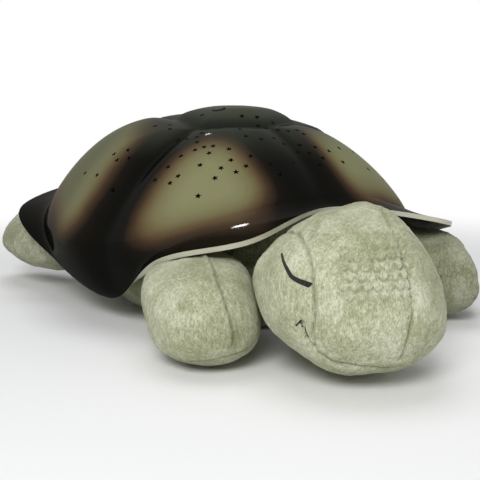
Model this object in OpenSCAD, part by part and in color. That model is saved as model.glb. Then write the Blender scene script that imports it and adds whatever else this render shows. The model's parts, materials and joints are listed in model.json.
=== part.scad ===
// Star night light in the form of a sleeping turtle: a hard, glossy shell with
// star cut-outs over a lamp unit, set in a stuffed plush body.
// Millimetres. +Z is up, the head is at -Y, the origin is on the floor.

/* [Shell] */
// Half width of the dome at its groove
dome_half_w = 98; // [90:0.5:106]
// Reach of the dome in front of its crown
dome_front = 84; // [78:0.5:92]
// Reach of the dome behind its crown
dome_rear = 102; // [94:0.5:112]
// Height of the crown above the floor
dome_top = 116; // [108:0.5:128]
// How far the crown lies behind the origin
crown_y = 6; // [0:0.5:12]
// Height of the groove at the front
groove_front_z = 70; // [66:0.5:74]
// Height of the groove at the sides
groove_side_z = 45; // [42:0.5:50]
// Height of the groove at the rear
groove_rear_z = 74; // [68:0.5:80]
// Wall of the shell
shell_wall = 2.4; // [1.8:0.1:3]
// How far each scute swells
scute_bulge = 6; // [3:0.5:8]
// How wide the valley between two scutes is
scute_blend = 16; // [10:1:24]

/* [Star cut-outs] */
// Width of a star over its points
star_w = 4.4; // [3:0.1:6]
// Width of the crescent
moon_w = 8; // [6:0.5:10]

/* [Lamp unit] */
// Height of the lamp tray's underside
tray_z = 41; // [39:0.5:43]
// Thickness of the lamp tray
tray_t = 2.4; // [2:0.1:3.2]
// Half width of the lamp tray
tray_half_w = 72; // [68:0.5:76]
// Half length of the lamp tray
tray_half_l = 66; // [62:0.5:70]
// Thickness of a circuit board
board_t = 1.6; // [1.2:0.1:2]
// Height of the lamp tower above the main board
tower_h = 14; // [10:0.5:20]
// Diameter of a lamp
led_d = 5; // [4:0.5:6]

/* [Battery box] */
// Diameter of a cell
cell_d = 10.5; // [10:0.1:11]
// Length of a cell
cell_l = 44.5; // [43:0.5:46]
// Pitch between two cells
cell_pitch = 11.4; // [11.2:0.1:12]
// Wall of the battery box
box_wall = 2; // [1.6:0.1:2.4]
// Height of the battery door's underside
door_z = 7; // [6.6:0.1:7.6]
// Thickness of the battery door
door_t = 2; // [1.6:0.1:2.4]

/* [Buttons] */
// Diameter of a button
button_d = 7; // [6:0.5:7.5]
// Travel of a button
button_travel = 1; // [0.6:0.1:1.2]
// Pitch between two buttons
button_pitch = 10; // [9.5:0.5:11]
// Tilt of the button panel towards the tail
panel_tilt = 33; // [28:1:40]
// Clearance round a button
button_gap = 0.2; // [0.15:0.05:0.3]

/* [Plush] */
// Half width of the body
body_half_w = 80; // [76:0.5:84]
// Half length of the body
body_half_l = 92; // [88:0.5:96]
// Width of the head
head_w = 86; // [80:0.5:92]
// Height of the head
head_h = 76; // [70:0.5:80]
// Length of the head
head_l = 96; // [88:0.5:104]
// Turn of the head to its right
head_turn = 27; // [10:1:32]
// Length of a front flipper
front_flipper_l = 92; // [84:0.5:98]
// Width of a front flipper
front_flipper_w = 56; // [48:0.5:58]
// Thickness of a front flipper
front_flipper_t = 50; // [44:0.5:54]
// Length of a rear flipper
rear_flipper_l = 88; // [80:0.5:96]
// Width of a rear flipper
rear_flipper_w = 54; // [48:0.5:60]
// Thickness of a rear flipper
rear_flipper_t = 37; // [32:0.5:40]
// Length of the tail
tail_l = 40; // [32:0.5:46]
// Thickness of the belly flap
flap_t = 3; // [2.6:0.1:3.4]
// Clearance between a soft piece and its neighbour
soft_gap = 0.4; // [0.3:0.05:0.6]

/* [Hidden] */

// How deep the soft forms are cut flat where they stand
sole_cut = 0.5;

// ---- Shell surface ----------------------------------------------------------
// The dome is a superellipse in plan whose profile rises from a wavy groove.
plan_power = 2.25;
front_round = 1.95;
rear_round = 2.9;
dome_steep = 0.86;
// Middles of the six scutes in plan: front pair, crown, tail, rear pair
scutes = [[-48, -68], [48, -68], [0, 10], [0, 62], [-64, 42], [64, 42]];
// Stations of the rim, each [angle, overhang beyond the groove, height]
rim_stations = [[-90, 6, 66], [-60, 35, 57], [-38.5, 18.5, 45], [-6, -13.5, 14],
                [23, 2.5, 27], [45.5, 30.5, 55], [90, 11, 70]];
columns_per_station = 5;
dome_rings = 11;
flange_rings = 4;

function dome_radius(a) =
    let (l = sin(a) < 0 ? dome_front : dome_rear)
    pow(pow(abs(cos(a)) / dome_half_w, plan_power) + pow(abs(sin(a)) / l, plan_power),
        -1 / plan_power);

function groove_z(a) =
    groove_side_z + ((sin(a) < 0 ? groove_front_z : groove_rear_z) - groove_side_z) * pow(sin(a), 2);

function least_index(v) = [for (i = [0 : len(v) - 1]) if (v[i] == min(v)) i][0];

// How far a plan point lies from the edge of its scute
function scute_depth(p) =
    let (d = [for (c = scutes) norm(p - c)],
         i = least_index(d),
         others = [for (j = [0 : len(d) - 1]) if (j != i) d[j]])
    min(others) - d[i];

// Point of the outer surface at angle a, q from 0 at the crown to 1 at the groove
function dome_point(a, q) =
    let (r = q * dome_radius(a),
         x = r * cos(a),
         y = r * sin(a) + crown_y,
         round_ = front_round + (rear_round - front_round) * (0.5 + 0.5 * sin(a)),
         z0 = groove_z(a),
         z = z0 + (dome_top - scute_bulge - z0) * pow(max(0, 1 - pow(q, round_)), dome_steep),
         n = [x / pow(dome_half_w, 2), (y - crown_y) / pow((dome_front + dome_rear) / 2, 2),
              (z - 20) / pow(dome_top, 2)],
         b = scute_bulge * (1 - exp(-scute_depth([x, y]) / scute_blend)))
    [x, y, z] + n / norm(n) * b;

// Closed Catmull-Rom curve through the rim's stations and their mirror images
function station_point(s) = let (r = dome_radius(s[0]) + s[1]) [r * cos(s[0]), r * sin(s[0]) + crown_y, s[2]];
rim_right = [for (s = rim_stations) station_point(s)];
rim_knots = concat(rim_right, [for (i = [len(rim_right) - 2 : -1 : 1])
                               [-rim_right[i][0], rim_right[i][1], rim_right[i][2]]]);
function knot(i) = rim_knots[(i + len(rim_knots)) % len(rim_knots)];
function rim_at(i, t) =
    0.5 * (2 * knot(i) + (knot(i + 1) - knot(i - 1)) * t
           + (2 * knot(i - 1) - 5 * knot(i) + 4 * knot(i + 1) - knot(i + 2)) * t * t
           + (3 * knot(i) - knot(i - 1) - 3 * knot(i + 1) + knot(i + 2)) * t * t * t);
column_count = len(rim_knots) * columns_per_station;
function rim_point(c) =
    rim_at(floor(c / columns_per_station), (c / columns_per_station) % 1);
function column_angle(c) = let (p = rim_point(c)) atan2(p[1] - crown_y, p[0]);

// Flange from the groove, t = 0, to the rim, t = 1: down first, then outwards
function flange_point(c, t) =
    let (g = dome_point(column_angle(c), 0.9999),
         r = rim_point(c),
         k = [g[0] * 0.6 + r[0] * 0.4, g[1] * 0.6 + r[1] * 0.4, g[2] * 0.25 + r[2] * 0.75])
    g * pow(1 - t, 2) + k * 2 * t * (1 - t) + r * pow(t, 2);

// Outer point of column c in row s, which runs from 0 at the crown over the groove
// at 1 to the rim at 2
function shell_point(c, s) = s <= 1 ? dome_point(column_angle(c), s) : flange_point(c, s - 1);
function unit(v) = v / max(norm(v), 0.000001);
function shell_normal(c, s) =
    let (ds = 0.03,
         around = shell_point(c + 0.5, s) - shell_point(c - 0.5, s),
         s1 = min(s + ds, 2),
         down = shell_point(c, s1) - shell_point(c, max(s1 - 2 * ds, 0.01)))
    unit(cross(down, around));
function shell_inner(c, s) = shell_point(c, s) - shell_wall * shell_normal(c, s);

shell_rows = concat([for (j = [1 : dome_rings]) sin(90 * j / dome_rings)],
                    [for (j = [1 : flange_rings]) 1 + j / flange_rings]);

module shell_wall_solid() {
    rows = len(shell_rows);
    crown = dome_point(0, 0);
    outer = [for (s = shell_rows) for (c = [0 : column_count - 1]) shell_point(c, s)];
    inner = [for (s = shell_rows) for (c = [0 : column_count - 1]) shell_inner(c, s)];
    n = column_count;
    inner_at = rows * n;
    top = 2 * rows * n;
    points = concat(outer, inner, [crown, crown - [0, 0, shell_wall]]);
    faces = concat(
        [for (c = [0 : n - 1]) [top, (c + 1) % n, c]],
        [for (c = [0 : n - 1]) [top + 1, inner_at + c, inner_at + (c + 1) % n]],
        [for (j = [0 : rows - 2]) for (c = [0 : n - 1]) for (k = [0, 1])
            let (a = j * n + c, b = j * n + (c + 1) % n)
            k == 0 ? [a, b, b + n] : [a, b + n, a + n]],
        [for (j = [0 : rows - 2]) for (c = [0 : n - 1]) for (k = [0, 1])
            let (a = inner_at + j * n + c, b = inner_at + j * n + (c + 1) % n)
            k == 0 ? [a, b + n, b] : [a, a + n, b + n]],
        [for (c = [0 : n - 1]) for (k = [0, 1])
            let (a = (rows - 1) * n + c, b = (rows - 1) * n + (c + 1) % n)
            k == 0 ? [a, b, inner_at + b] : [a, inner_at + b, inner_at + a]]);
    polyhedron(points, faces, convexity = 6);
}

// Solid that the outer dome encloses, used to trim what stands against it
module dome_core() {
    rows = [for (j = [1 : dome_rings]) sin(90 * j / dome_rings)];
    n = 30;
    skin = [for (s = rows) for (c = [0 : n - 1]) dome_point(360 * c / n, s * 0.9999) - [0, 0, shell_wall / 2]];
    last = (len(rows) - 1) * n;
    floor_z = [for (c = [0 : n - 1]) [skin[last + c][0], skin[last + c][1], tray_z - 10]];
    count = len(skin);
    points = concat(skin, floor_z, [dome_point(0, 0) - [0, 0, shell_wall / 2]]);
    faces = concat(
        [for (c = [0 : n - 1]) [count + n, (c + 1) % n, c]],
        [for (j = [0 : len(rows) - 1]) for (c = [0 : n - 1]) for (k = [0, 1])
            let (a = j * n + c, b = j * n + (c + 1) % n)
            k == 0 ? [a, b, b + n] : [a, b + n, a + n]],
        [[for (c = [0 : n - 1]) count + c]]);
    polyhedron(points, faces, convexity = 4);
}

// Puts its children on the dome above a plan point, z along the surface's normal
module on_dome(p) {
    a = atan2(p[1] - crown_y, p[0]);
    q = norm(p - [0, crown_y]) / dome_radius(a);
    e = 0.02;
    here = dome_point(a, q);
    normal = unit(cross(dome_point(a, q + e) - dome_point(a, q - e),
                        dome_point(a + 1, q) - dome_point(a - 1, q)));
    translate(here)
        rotate([0, acos(normal[2]), atan2(normal[1], normal[0])])
            children();
}

// Fields of stars, each [middle, half size along x and y, count, first angle]
star_fields = [[[-50, -44], [28, 25], 13, 20], [[50, -44], [28, 25], 13, 200],
               [[-72, 36], [19, 24], 7, 60], [[72, 36], [19, 24], 7, 240],
               [[0, -6], [25, 19], 7, 110], [[0, 46], [24, 13], 5, 0]];
golden_angle = 137.508;
function field_star(f, i) =
    let (r = sqrt((i + 0.6) / f[2]), a = f[3] + golden_angle * i)
    [f[0][0] + f[1][0] * r * cos(a), f[0][1] + f[1][1] * r * sin(a)];

module star_cut(w) {
    linear_extrude(height = 6 * shell_wall, center = true)
        polygon([for (k = [0 : 9]) let (r = (k % 2 == 0) ? w / 2 : w / 4.8)
                 [r * cos(36 * k), r * sin(36 * k)]]);
}

module star_cuts() {
    for (f = star_fields)
        for (i = [0 : f[2] - 1])
            on_dome(field_star(f, i))
                rotate(25 * i)
                    star_cut(star_w);
}

module moon_cut() {
    on_dome([-27, -14])
        linear_extrude(height = 6 * shell_wall, center = true)
            difference() {
                circle(d = moon_w, $fn = 20);
                translate([moon_w * 0.28, 0])
                    circle(d = moon_w * 0.8, $fn = 20);
            }
}

// ---- Lamp unit's plan -------------------------------------------------------
tray_y = 4;
tray_top = tray_z + tray_t;
boss_spots = [[-52, -34], [52, -34], [-54, 40], [54, 40]];
boss_d = 9;
boss_draft = 2.5;
screw_d = 2.6;
screw_head_d = 5.4;
screw_head_h = 2;
boss_gap = 0.1;
web_t = 1.8;
web_reach = 1.3;
web_rise = [17, 27];

module shell_boss(p) {
    z0 = tray_top + boss_gap;
    translate([p[0], p[1], z0])
        hull() {
            cylinder(d = boss_d, h = 1, $fn = 20);
            translate([0, 0, dome_top - z0])
                cylinder(d = boss_d + boss_draft, h = 1, $fn = 20);
        }
    // Web that ties the boss to the side wall, clear of the plush below it
    hull() {
        translate([p[0], p[1], z0 + web_rise[0]])
            cylinder(d = web_t, h = dome_top - z0 - web_rise[0], $fn = 8);
        translate([p[0] * web_reach, p[1] * web_reach, z0 + web_rise[1]])
            cylinder(d = web_t, h = dome_top - z0 - web_rise[1], $fn = 8);
    }
}

module shell() {
    color([0.44, 0.42, 0.29])
        difference() {
            union() {
                shell_wall_solid();
                intersection() {
                    union() {
                        for (p = boss_spots)
                            shell_boss(p);
                        panel_place()
                            panel_outline(panel_margin, -panel_seat_depth, panel_seat_depth);
                    }
                    dome_core();
                }
            }
            star_cuts();
            moon_cut();
            panel_place()
                panel_outline(panel_slack, -20, 40);
            for (p = boss_spots)
                translate([p[0], p[1], tray_top - 1])
                    cylinder(d = screw_d + 0.2, h = 12, $fn = 16);
        }
}

// ---- Button panel -----------------------------------------------------------
// A capsule-shaped plate, sunk into the rear scute and square to its slope
panel_y = 72;
panel_half_l = 1.5 * button_pitch;
panel_w = 13;
panel_slack = 0.25;
panel_margin = 3;
panel_seat_depth = 6;
panel_t = 2.2;
panel_sink = 1.6;
sleeve_h = 2.6;
collar_h = 0.8;
collar_d = button_d + 2.2;
cap_above = 1.2;
stem_d = 3;
plunger_d = 3.4;
plunger_h = 1;
switch_h = 3.4;
switch_w = 6;

panel_q = (panel_y - crown_y) / dome_rear;
panel_skin = dome_point(90, panel_q);
button_names_x = [for (i = [-1.5 : 1 : 1.5]) i * button_pitch];
// Heights along the panel's normal, 0 at the plate's face
plate_back = -panel_t;
switch_top = plate_back - collar_h - button_travel - 3;
board_face = switch_top - plunger_h - switch_h;

module panel_place() {
    translate([0, panel_skin[1], panel_skin[2]])
        rotate([-panel_tilt, 0, 0])
            translate([0, 0, -panel_sink])
                children();
}

module panel_outline(grow, z0, z1) {
    translate([0, 0, z0])
        hull()
            for (s = [-1, 1])
                translate([s * panel_half_l, 0, 0])
                    cylinder(d = panel_w + 2 * grow, h = z1 - z0, $fn = 32);
}

lip_face = -panel_seat_depth - 0.1;
lip_t = 1.6;
button_screw_x = panel_half_l + 5.8;

module button_frame() {
    color([0.2, 0.19, 0.16])
        panel_place()
            difference() {
                union() {
                    // Plate that shows in the opening, and the lip behind the shell
                    panel_block(panel_half_l, panel_w, lip_face, 0);
                    panel_block(panel_half_l, panel_w + 2 * panel_margin, lip_face - lip_t, lip_face);
                    // Posts that carry the board
                    for (s = [-1, 1])
                        translate([s * button_screw_x, 0, board_face])
                            cylinder(d = 4.4, h = lip_face - board_face);
                }
                // Pocket behind the plate, open to the board
                panel_block(panel_half_l - 0.6, panel_w - 2.4, lip_face - lip_t - 1, plate_back);
                for (x = button_names_x)
                    translate([x, 0, plate_back - 1])
                        cylinder(d = button_d + 2 * button_gap, h = panel_t + 2);
                for (s = [-1, 1])
                    translate([s * button_screw_x, 0, board_face - 1])
                        cylinder(d = 1.6, h = 5);
            }
}

// Plate with half-round ends
module panel_block(half_l, w, z0, z1) {
    translate([-half_l, -w / 2, z0])
        cube([2 * half_l, w, z1 - z0]);
    for (s = [-1, 1])
        translate([s * half_l, 0, z0])
            cylinder(d = w, h = z1 - z0);
}

module button(x, tint) {
    color(tint)
        panel_place()
            translate([x, 0, 0]) {
                translate([0, 0, plate_back - 0.05])
                    cylinder(d = button_d, h = panel_t + cap_above + 0.05);
                translate([0, 0, plate_back - 0.1 - collar_h])
                    cylinder(d = collar_d, h = collar_h);
                translate([0, 0, switch_top + button_travel + 0.1])
                    cylinder(d = stem_d, h = plate_back - switch_top - button_travel);
            }
}

module button_power() button(button_names_x[0], [0.85, 0.83, 0.75]);
module button_amber() button(button_names_x[1], [0.88, 0.58, 0.2]);
module button_green() button(button_names_x[2], [0.35, 0.65, 0.35]);
module button_blue() button(button_names_x[3], [0.3, 0.45, 0.75]);

board_l = 2 * button_screw_x + 8;
module button_board() {
    color([0.1, 0.35, 0.2])
        panel_place()
            difference() {
                translate([-board_l / 2, -5.5, board_face - board_t])
                    cube([board_l, 11, board_t]);
                for (s = [-1, 1])
                    translate([s * button_screw_x, 0, board_face - board_t - 1])
                        cylinder(d = 2, h = board_t + 2);
            }
}

module tact_switches() {
    color([0.15, 0.15, 0.15])
        panel_place()
            for (x = button_names_x)
                translate([x, 0, board_face]) {
                    translate([-switch_w / 2, -switch_w / 2, 0])
                        cube([switch_w, switch_w, switch_h]);
                    cylinder(d = plunger_d, h = switch_h + plunger_h);
                }
}

// Pan-head screw, its head at z = 0 downwards and its shank upwards
module screw(shank_d, shank_l, head_d, head_h) {
    cylinder(d = shank_d, h = shank_l);
    difference() {
        translate([0, 0, -head_h])
            cylinder(d = head_d, h = head_h);
        for (a = [0, 90])
            rotate(a)
                translate([-head_d / 3, -0.4, -head_h - 1])
                    cube([head_d / 1.5, 0.8, 1 + head_h / 2]);
    }
}

module button_screws() {
    color("silver")
        panel_place()
            for (s = [-1, 1])
                translate([s * button_screw_x, 0, board_face - board_t])
                    screw(1.6, board_t + 3, 3.4, 1.2);
}

// ---- Lamp tray and battery box ---------------------------------------------
box_inner_w = 3 * cell_pitch + 2;
box_inner_l = cell_l + 9;
box_w = box_inner_w + 2 * box_wall;
box_l = box_inner_l + 2 * box_wall;
box_y = 0;
door_top = door_z + door_t;
cell_z = door_top + 0.6 + cell_d / 2;
box_ceiling = cell_z + cell_d / 2 + 0.8;
door_screw_y = box_l / 2 + 4.4;
door_ear_w = 10;
door_ear_l = 9;

module oval(half_w, half_l, h) {
    // A circle cut square on its two sides
    translate([0, tray_y, 0])
        linear_extrude(height = h)
            intersection() {
                square([2 * half_w, 2 * half_l], center = true);
                circle(r = max(half_w, half_l) * 1.04, $fn = 96);
            }
}

module lamp_tray() {
    color([0.88, 0.87, 0.82])
        difference() {
            union() {
                translate([0, 0, tray_z])
                    oval(tray_half_w, tray_half_l, tray_t);
                // Box for the cells
                translate([-box_w / 2, box_y - box_l / 2, door_z + 0.4])
                    cube([box_w, box_l, tray_z - door_z]);
                // Boss for the door's screw
                translate([0, box_y + door_screw_y, door_top + 0.2])
                    cylinder(d = 8, h = tray_z - door_top);
                translate([-3, box_y + box_l / 2 - 1, door_top + 0.2])
                    cube([6, door_screw_y - box_l / 2 + 1, tray_z - door_top]);
                // Pillars for the main board
                for (p = board_spots)
                    translate([p[0], p[1], tray_z])
                        cylinder(d = 5, h = board_z - tray_z);
            }
            translate([-box_inner_w / 2, box_y - box_inner_l / 2, door_z - 2])
                cube([box_inner_w, box_inner_l, box_ceiling - door_z + 2]);
            // Rebate for the door
            translate([-box_w / 2 + 0.8, box_y - box_l / 2 + 0.8, door_z - 2])
                cube([box_w - 1.6, box_l - 1.6 + 4, door_t + 2.2]);
            // Hollow above the cells' ceiling
            translate([-box_inner_w / 2, box_y - box_inner_l / 2, box_ceiling + 2])
                cube([box_inner_w, box_inner_l, tray_top - box_ceiling]);
            translate([0, box_y + door_screw_y, door_top - 1])
                cylinder(d = screw_d, h = 10);
            for (p = boss_spots)
                translate([p[0], p[1], tray_z - 1])
                    cylinder(d = screw_d + 0.6, h = tray_t + 2);
            for (p = board_spots)
                translate([p[0], p[1], board_z - 6])
                    cylinder(d = 1.8, h = 7);
            // Way out for the battery lead
            translate([-box_inner_w / 2 + 2, box_y - box_inner_l / 2 + 6, box_ceiling - 1])
                cylinder(d = 4, h = 6);
        }
}

module battery_door() {
    color([0.8, 0.79, 0.73])
        difference() {
            union() {
                translate([-box_w / 2 + 1.1, box_y - box_l / 2 + 1.1, door_z])
                    cube([box_w - 2.2, box_l - 2.2, door_t]);
                // Ear for the screw
                translate([-door_ear_w / 2, box_y + box_l / 2 - 2, door_z])
                    cube([door_ear_w, door_screw_y - box_l / 2 + 2, door_t]);
                translate([0, box_y + door_screw_y, door_z])
                    cylinder(d = door_ear_w, h = door_t);
            }
            translate([0, box_y + door_screw_y, door_z - 1])
                cylinder(d = screw_d + 0.6, h = door_t + 2);
            // Ribs for the thumb
            for (i = [-2 : 2])
                translate([-8, box_y - box_l / 2 + 12 + 2.5 * i, door_z - 1])
                    cube([16, 1, 1.4]);
        }
}

module door_screw() {
    color("silver")
        translate([0, box_y + door_screw_y, door_z])
            screw(screw_d, door_t + 6, screw_head_d, 1.4);
}

cell_x = [for (i = [-1 : 1]) i * cell_pitch];
module battery_cells() {
    color([0.2, 0.22, 0.25])
        for (i = [0 : 2])
            translate([cell_x[i], box_y, cell_z])
                rotate([(i % 2 == 0) ? 90 : -90, 0, 0]) {
                    translate([0, 0, -cell_l / 2])
                        cylinder(d = cell_d, h = cell_l - 1);
                    translate([0, 0, cell_l / 2 - 1])
                        cylinder(d = 3.8, h = 1);
                }
}

contact_t = 0.6;
module battery_contacts() {
    color("silver")
        for (i = [0 : 2])
            for (s = [-1, 1])
                translate([cell_x[i] - 4, box_y + s * (box_inner_l / 2 - contact_t / 2) - contact_t / 2,
                           cell_z - 4])
                    cube([8, contact_t, 8]);
}

// A cell's spring: one open helix, pressed between its contact and the cell
spring_turns = 3.5;
spring_wire = 0.7;
spring_room = (box_inner_l - cell_l) / 2 - contact_t;
function helix_point(t, r, l) = [r * cos(360 * spring_turns * t), r * sin(360 * spring_turns * t),
                                 spring_wire / 2 + (l - spring_wire) * t];
module battery_springs() {
    color("silver")
        for (i = [0 : 2])
            for (s = [-1, 1])
                translate([cell_x[i], box_y + s * cell_l / 2, cell_z])
                    rotate([-90 * s, 0, 0])
                        tube([for (k = [0 : 20]) helix_point(k / 20, 3.4 - 0.8 * k / 20, spring_room)],
                             spring_wire, 4);
}

// Tube swept along points, with flat ends
module tube(path, d, sides) {
    n = len(path);
    ring = [for (i = [0 : n - 1])
        let (t = unit(path[min(i + 1, n - 1)] - path[max(i - 1, 0)]),
             side = unit(cross(t, abs(t[2]) < 0.9 ? [0, 0, 1] : [0, 1, 0])),
             up = cross(side, t))
        for (k = [0 : sides - 1])
            path[i] + d / 2 * (side * cos(360 * k / sides) + up * sin(360 * k / sides))];
    faces = concat(
        [[for (k = [0 : sides - 1]) k]],
        [for (i = [0 : n - 2]) for (k = [0 : sides - 1]) for (h = [0, 1])
            let (a = i * sides + k, b = i * sides + (k + 1) % sides)
            h == 0 ? [a, a + sides, b + sides] : [a, b + sides, b]],
        [[for (k = [sides - 1 : -1 : 0]) (n - 1) * sides + k]]);
    polyhedron(ring, faces, convexity = 4);
}

module tray_screws() {
    color("silver")
        for (p = boss_spots)
            translate([p[0], p[1], tray_z])
                screw(screw_d, tray_t + 8, screw_head_d, screw_head_h);
}

// Ring that clamps the edge of the plush under the tray
ring_t = 1.6;
plush_top = tray_z - ring_t;
well_w = box_w + 26;
well_l = box_l + 30;
module plush_clamp_ring() {
    color([0.3, 0.3, 0.28])
        translate([0, 0, plush_top])
            difference() {
                oval(tray_half_w - 2, tray_half_l - 2, ring_t);
                translate([-well_w / 2, box_y - well_l / 2, -1])
                    cube([well_w, well_l, ring_t + 2]);
                for (p = boss_spots)
                    translate([p[0], p[1], -1])
                        cylinder(d = screw_head_d + 1.2, h = ring_t + 2);
            }
}

// ---- Electronics ------------------------------------------------------------
board_z = tray_top + 4;
main_board_w = 56;
main_board_l = 40;
main_board_y = -10;
board_spots = [for (x = [-1, 1]) for (y = [-1, 1])
               [x * (main_board_w / 2 - 4), main_board_y + y * (main_board_l / 2 - 4)]];
board_top = board_z + board_t;

module main_board() {
    color([0.1, 0.35, 0.2])
        difference() {
            translate([-main_board_w / 2, main_board_y - main_board_l / 2, board_z])
                cube([main_board_w, main_board_l, board_t]);
            for (p = board_spots)
                translate([p[0], p[1], board_z - 1])
                    cylinder(d = 2.4, h = board_t + 2);
        }
}

module board_screws() {
    color("silver")
        for (p = board_spots)
            translate([p[0], p[1], board_top])
                rotate([180, 0, 0])
                    screw(1.8, board_t + 5, 3.6, 1.4);
}

module timer_chip() {
    color([0.12, 0.12, 0.12])
        translate([8 - main_board_w / 2, main_board_y - 5, board_top])
            union() {
                translate([0, 0, 0.4])
                    cube([8, 10, 1.8]);
                for (i = [0 : 3])
                    for (s = [-1.5, 8])
                        translate([s, 1 + 2.4 * i, 0])
                            cube([1.5, 0.8, 1.2]);
            }
}

tower_d = 20;
led_ring_r = 5.4;
lamp_base = board_top + tower_h;
module lamp_tower() {
    color([0.9, 0.9, 0.88])
        translate([4, main_board_y, board_top])
            difference() {
                union() {
                    cylinder(d1 = tower_d + 3, d2 = tower_d, h = tower_h - 2);
                    translate([0, 0, tower_h - 2])
                        cylinder(d = tower_d, h = 2);
                }
                translate([0, 0, -1])
                    cylinder(d = tower_d - 4, h = tower_h - 1);
                for (a = [90, 210, 330])
                    rotate(a)
                        translate([led_ring_r, 0, tower_h - 3])
                            cylinder(d = led_d + 0.4, h = 4);
            }
}

module led(a, tint) {
    color(tint)
        translate([4, main_board_y, lamp_base])
            rotate(a)
                translate([led_ring_r, 0, 0]) {
                    // Collar on the tower, dome above it, and two legs down to the board
                    translate([0, 0, -3])
                        cylinder(d = led_d, h = 6);
                    translate([0, 0, 3])
                        sphere(d = led_d);
                    for (s = [-1.27, 1.27])
                        translate([s - 0.25, -0.25, -tower_h])
                            cube([0.5, 0.5, tower_h - 2]);
                }
}
module led_amber() led(90, [0.95, 0.6, 0.2]);
module led_green() led(210, [0.3, 0.8, 0.4]);
module led_blue() led(330, [0.3, 0.5, 0.95]);

module battery_lead() {
    color([0.75, 0.1, 0.1])
        tube(lead_points([-14, box_y - 19, box_ceiling + 2], [-14, main_board_y - 12, board_z]), 1.6, 8);
}

// A lead that leaves a board squarely and eases over to the next one
function lead_points(from, to) =
    [for (k = [0 : 8]) let (t = k / 8, e = t * t * (3 - 2 * t))
     [from[0] + (to[0] - from[0]) * e, from[1] + (to[1] - from[1]) * e, from[2] + (to[2] - from[2]) * t]];

board_back = board_face - board_t;
// World place of a point given on the panel's own axes
function panel_to_world(p) =
    [p[0],
     panel_skin[1] + (p[1]) * cos(panel_tilt) + (p[2] - panel_sink) * sin(panel_tilt),
     panel_skin[2] - (p[1]) * sin(panel_tilt) + (p[2] - panel_sink) * cos(panel_tilt)];
module button_lead() {
    from = panel_to_world([0, 0, board_back]);
    lead = panel_to_world([0, 0, board_back - 8]);
    to = [0, main_board_y + 16, board_top];
    rise = [to[0], to[1], to[2] + 10];
    color([0.85, 0.85, 0.8])
        tube([for (k = [0 : 14]) let (t = k / 14)
              from * pow(1 - t, 3) + lead * 3 * t * pow(1 - t, 2) + rise * 3 * t * t * (1 - t) + to * t * t * t],
             2, 8);
}

// ---- Plush ------------------------------------------------------------------
// A stuffed form: an ellipsoid-like skin round the z axis of its own frame.
// size is [width, length, height]; swell over 2 squares its sides; taper draws in
// the end at +Y; grow adds a clearance all round; rise stretches the upper half;
// side squares the form as seen from the side.
module stuffed(size, swell, taper, grow, around, rings, rise = 1, side = 0) {
    function power_of(v, p) = sign(v) * pow(abs(v), p);
    e = 2 / swell;
    es = side > 0 ? 2 / side : e;
    points = concat(
        [for (j = [1 : rings - 1]) for (i = [0 : around - 1])
            let (v = -90 + 180 * j / rings,
                 u = 360 * i / around,
                 y = power_of(cos(v), es) * power_of(sin(u), e),
                 k = 1 - taper * (y + 1) / 2)
            [(size[0] / 2 + grow) * k * power_of(cos(v), es) * power_of(cos(u), e),
             (size[1] / 2 + grow) * y,
             (size[2] / 2 + grow) * (1 - (1 - k) * 0.5) * power_of(sin(v), es) * (v > 0 ? rise : 1)]],
        [[0, 0, -(size[2] / 2 + grow) * (1 - taper / 4)],
         [0, 0, (size[2] / 2 + grow) * (1 - taper / 4) * rise]]);
    last = (rings - 2) * around;
    pole = (rings - 1) * around;
    faces = concat(
        [for (i = [0 : around - 1]) [pole, i, (i + 1) % around]],
        [for (j = [0 : rings - 3]) for (i = [0 : around - 1]) for (h = [0, 1])
            let (a = j * around + i, b = j * around + (i + 1) % around)
            h == 0 ? [a, b + around, b] : [a, a + around, b + around]],
        [for (i = [0 : around - 1]) [pole + 1, last + (i + 1) % around, last + i]]);
    polyhedron(points, faces, convexity = 4);
}

// Seam: a shallow groove pressed into a stuffed form. It runs lengthwise over the
// skin at the share fx of the half width, from angle a0 to a1, where 0 is the -Y end
// and 90 the top.
seam_r = 1.1;
module seam_groove(size, fx, a0, a1, count) {
    c = sqrt(1 - fx * fx);
    for (i = [0 : count - 1])
        hull()
            for (k = [0, 1])
                let (a = a0 + (a1 - a0) * (i + k) / count)
                translate([fx * size[0] / 2, -c * size[1] / 2 * cos(a), c * size[2] / 2 * sin(a)])
                    sphere(r = seam_r, $fn = 6);
}

floor_span = 600;
floor_depth = 60;
module below_floor() {
    translate([-floor_span / 2, -floor_span / 2, -floor_depth])
        cube([floor_span, floor_span, floor_depth]);
}

// Everything that the shell and its flange take up, with room for the plush
module shell_room() {
    n = 30;
    m = soft_gap;
    rows = [0.55, 0.8, 1, 1.5, 2];
    step = column_count / n;
    low = [for (s = rows) for (c = [0 : n - 1])
           shell_inner(c * step, s == 2 ? 1.999 : s) - [0, 0, m]];
    cap_z = dome_top + 30;
    count = len(low);
    last = (len(rows) - 1) * n;
    cap = [for (c = [0 : n - 1]) [low[last + c][0] * 1.25, low[last + c][1] * 1.2, low[last + c][2]]];
    lid = [for (c = [0 : n - 1]) [low[last + c][0] * 1.25, low[last + c][1] * 1.2, cap_z]];
    hub = [0, crown_y, dome_point(0, 0.55)[2] - shell_wall - m];
    faces = concat(
        [for (c = [0 : n - 1]) [count + 2 * n, c, (c + 1) % n]],
        [for (j = [0 : len(rows)]) for (c = [0 : n - 1]) for (k = [0, 1])
            let (a = j * n + c, b = j * n + (c + 1) % n)
            k == 0 ? [a, b + n, b] : [a, a + n, b + n]],
        [[for (c = [n - 1 : -1 : 0]) count + n + c]]);
    polyhedron(concat(low, cap, lid, [hub]), faces, convexity = 6);
}

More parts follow.
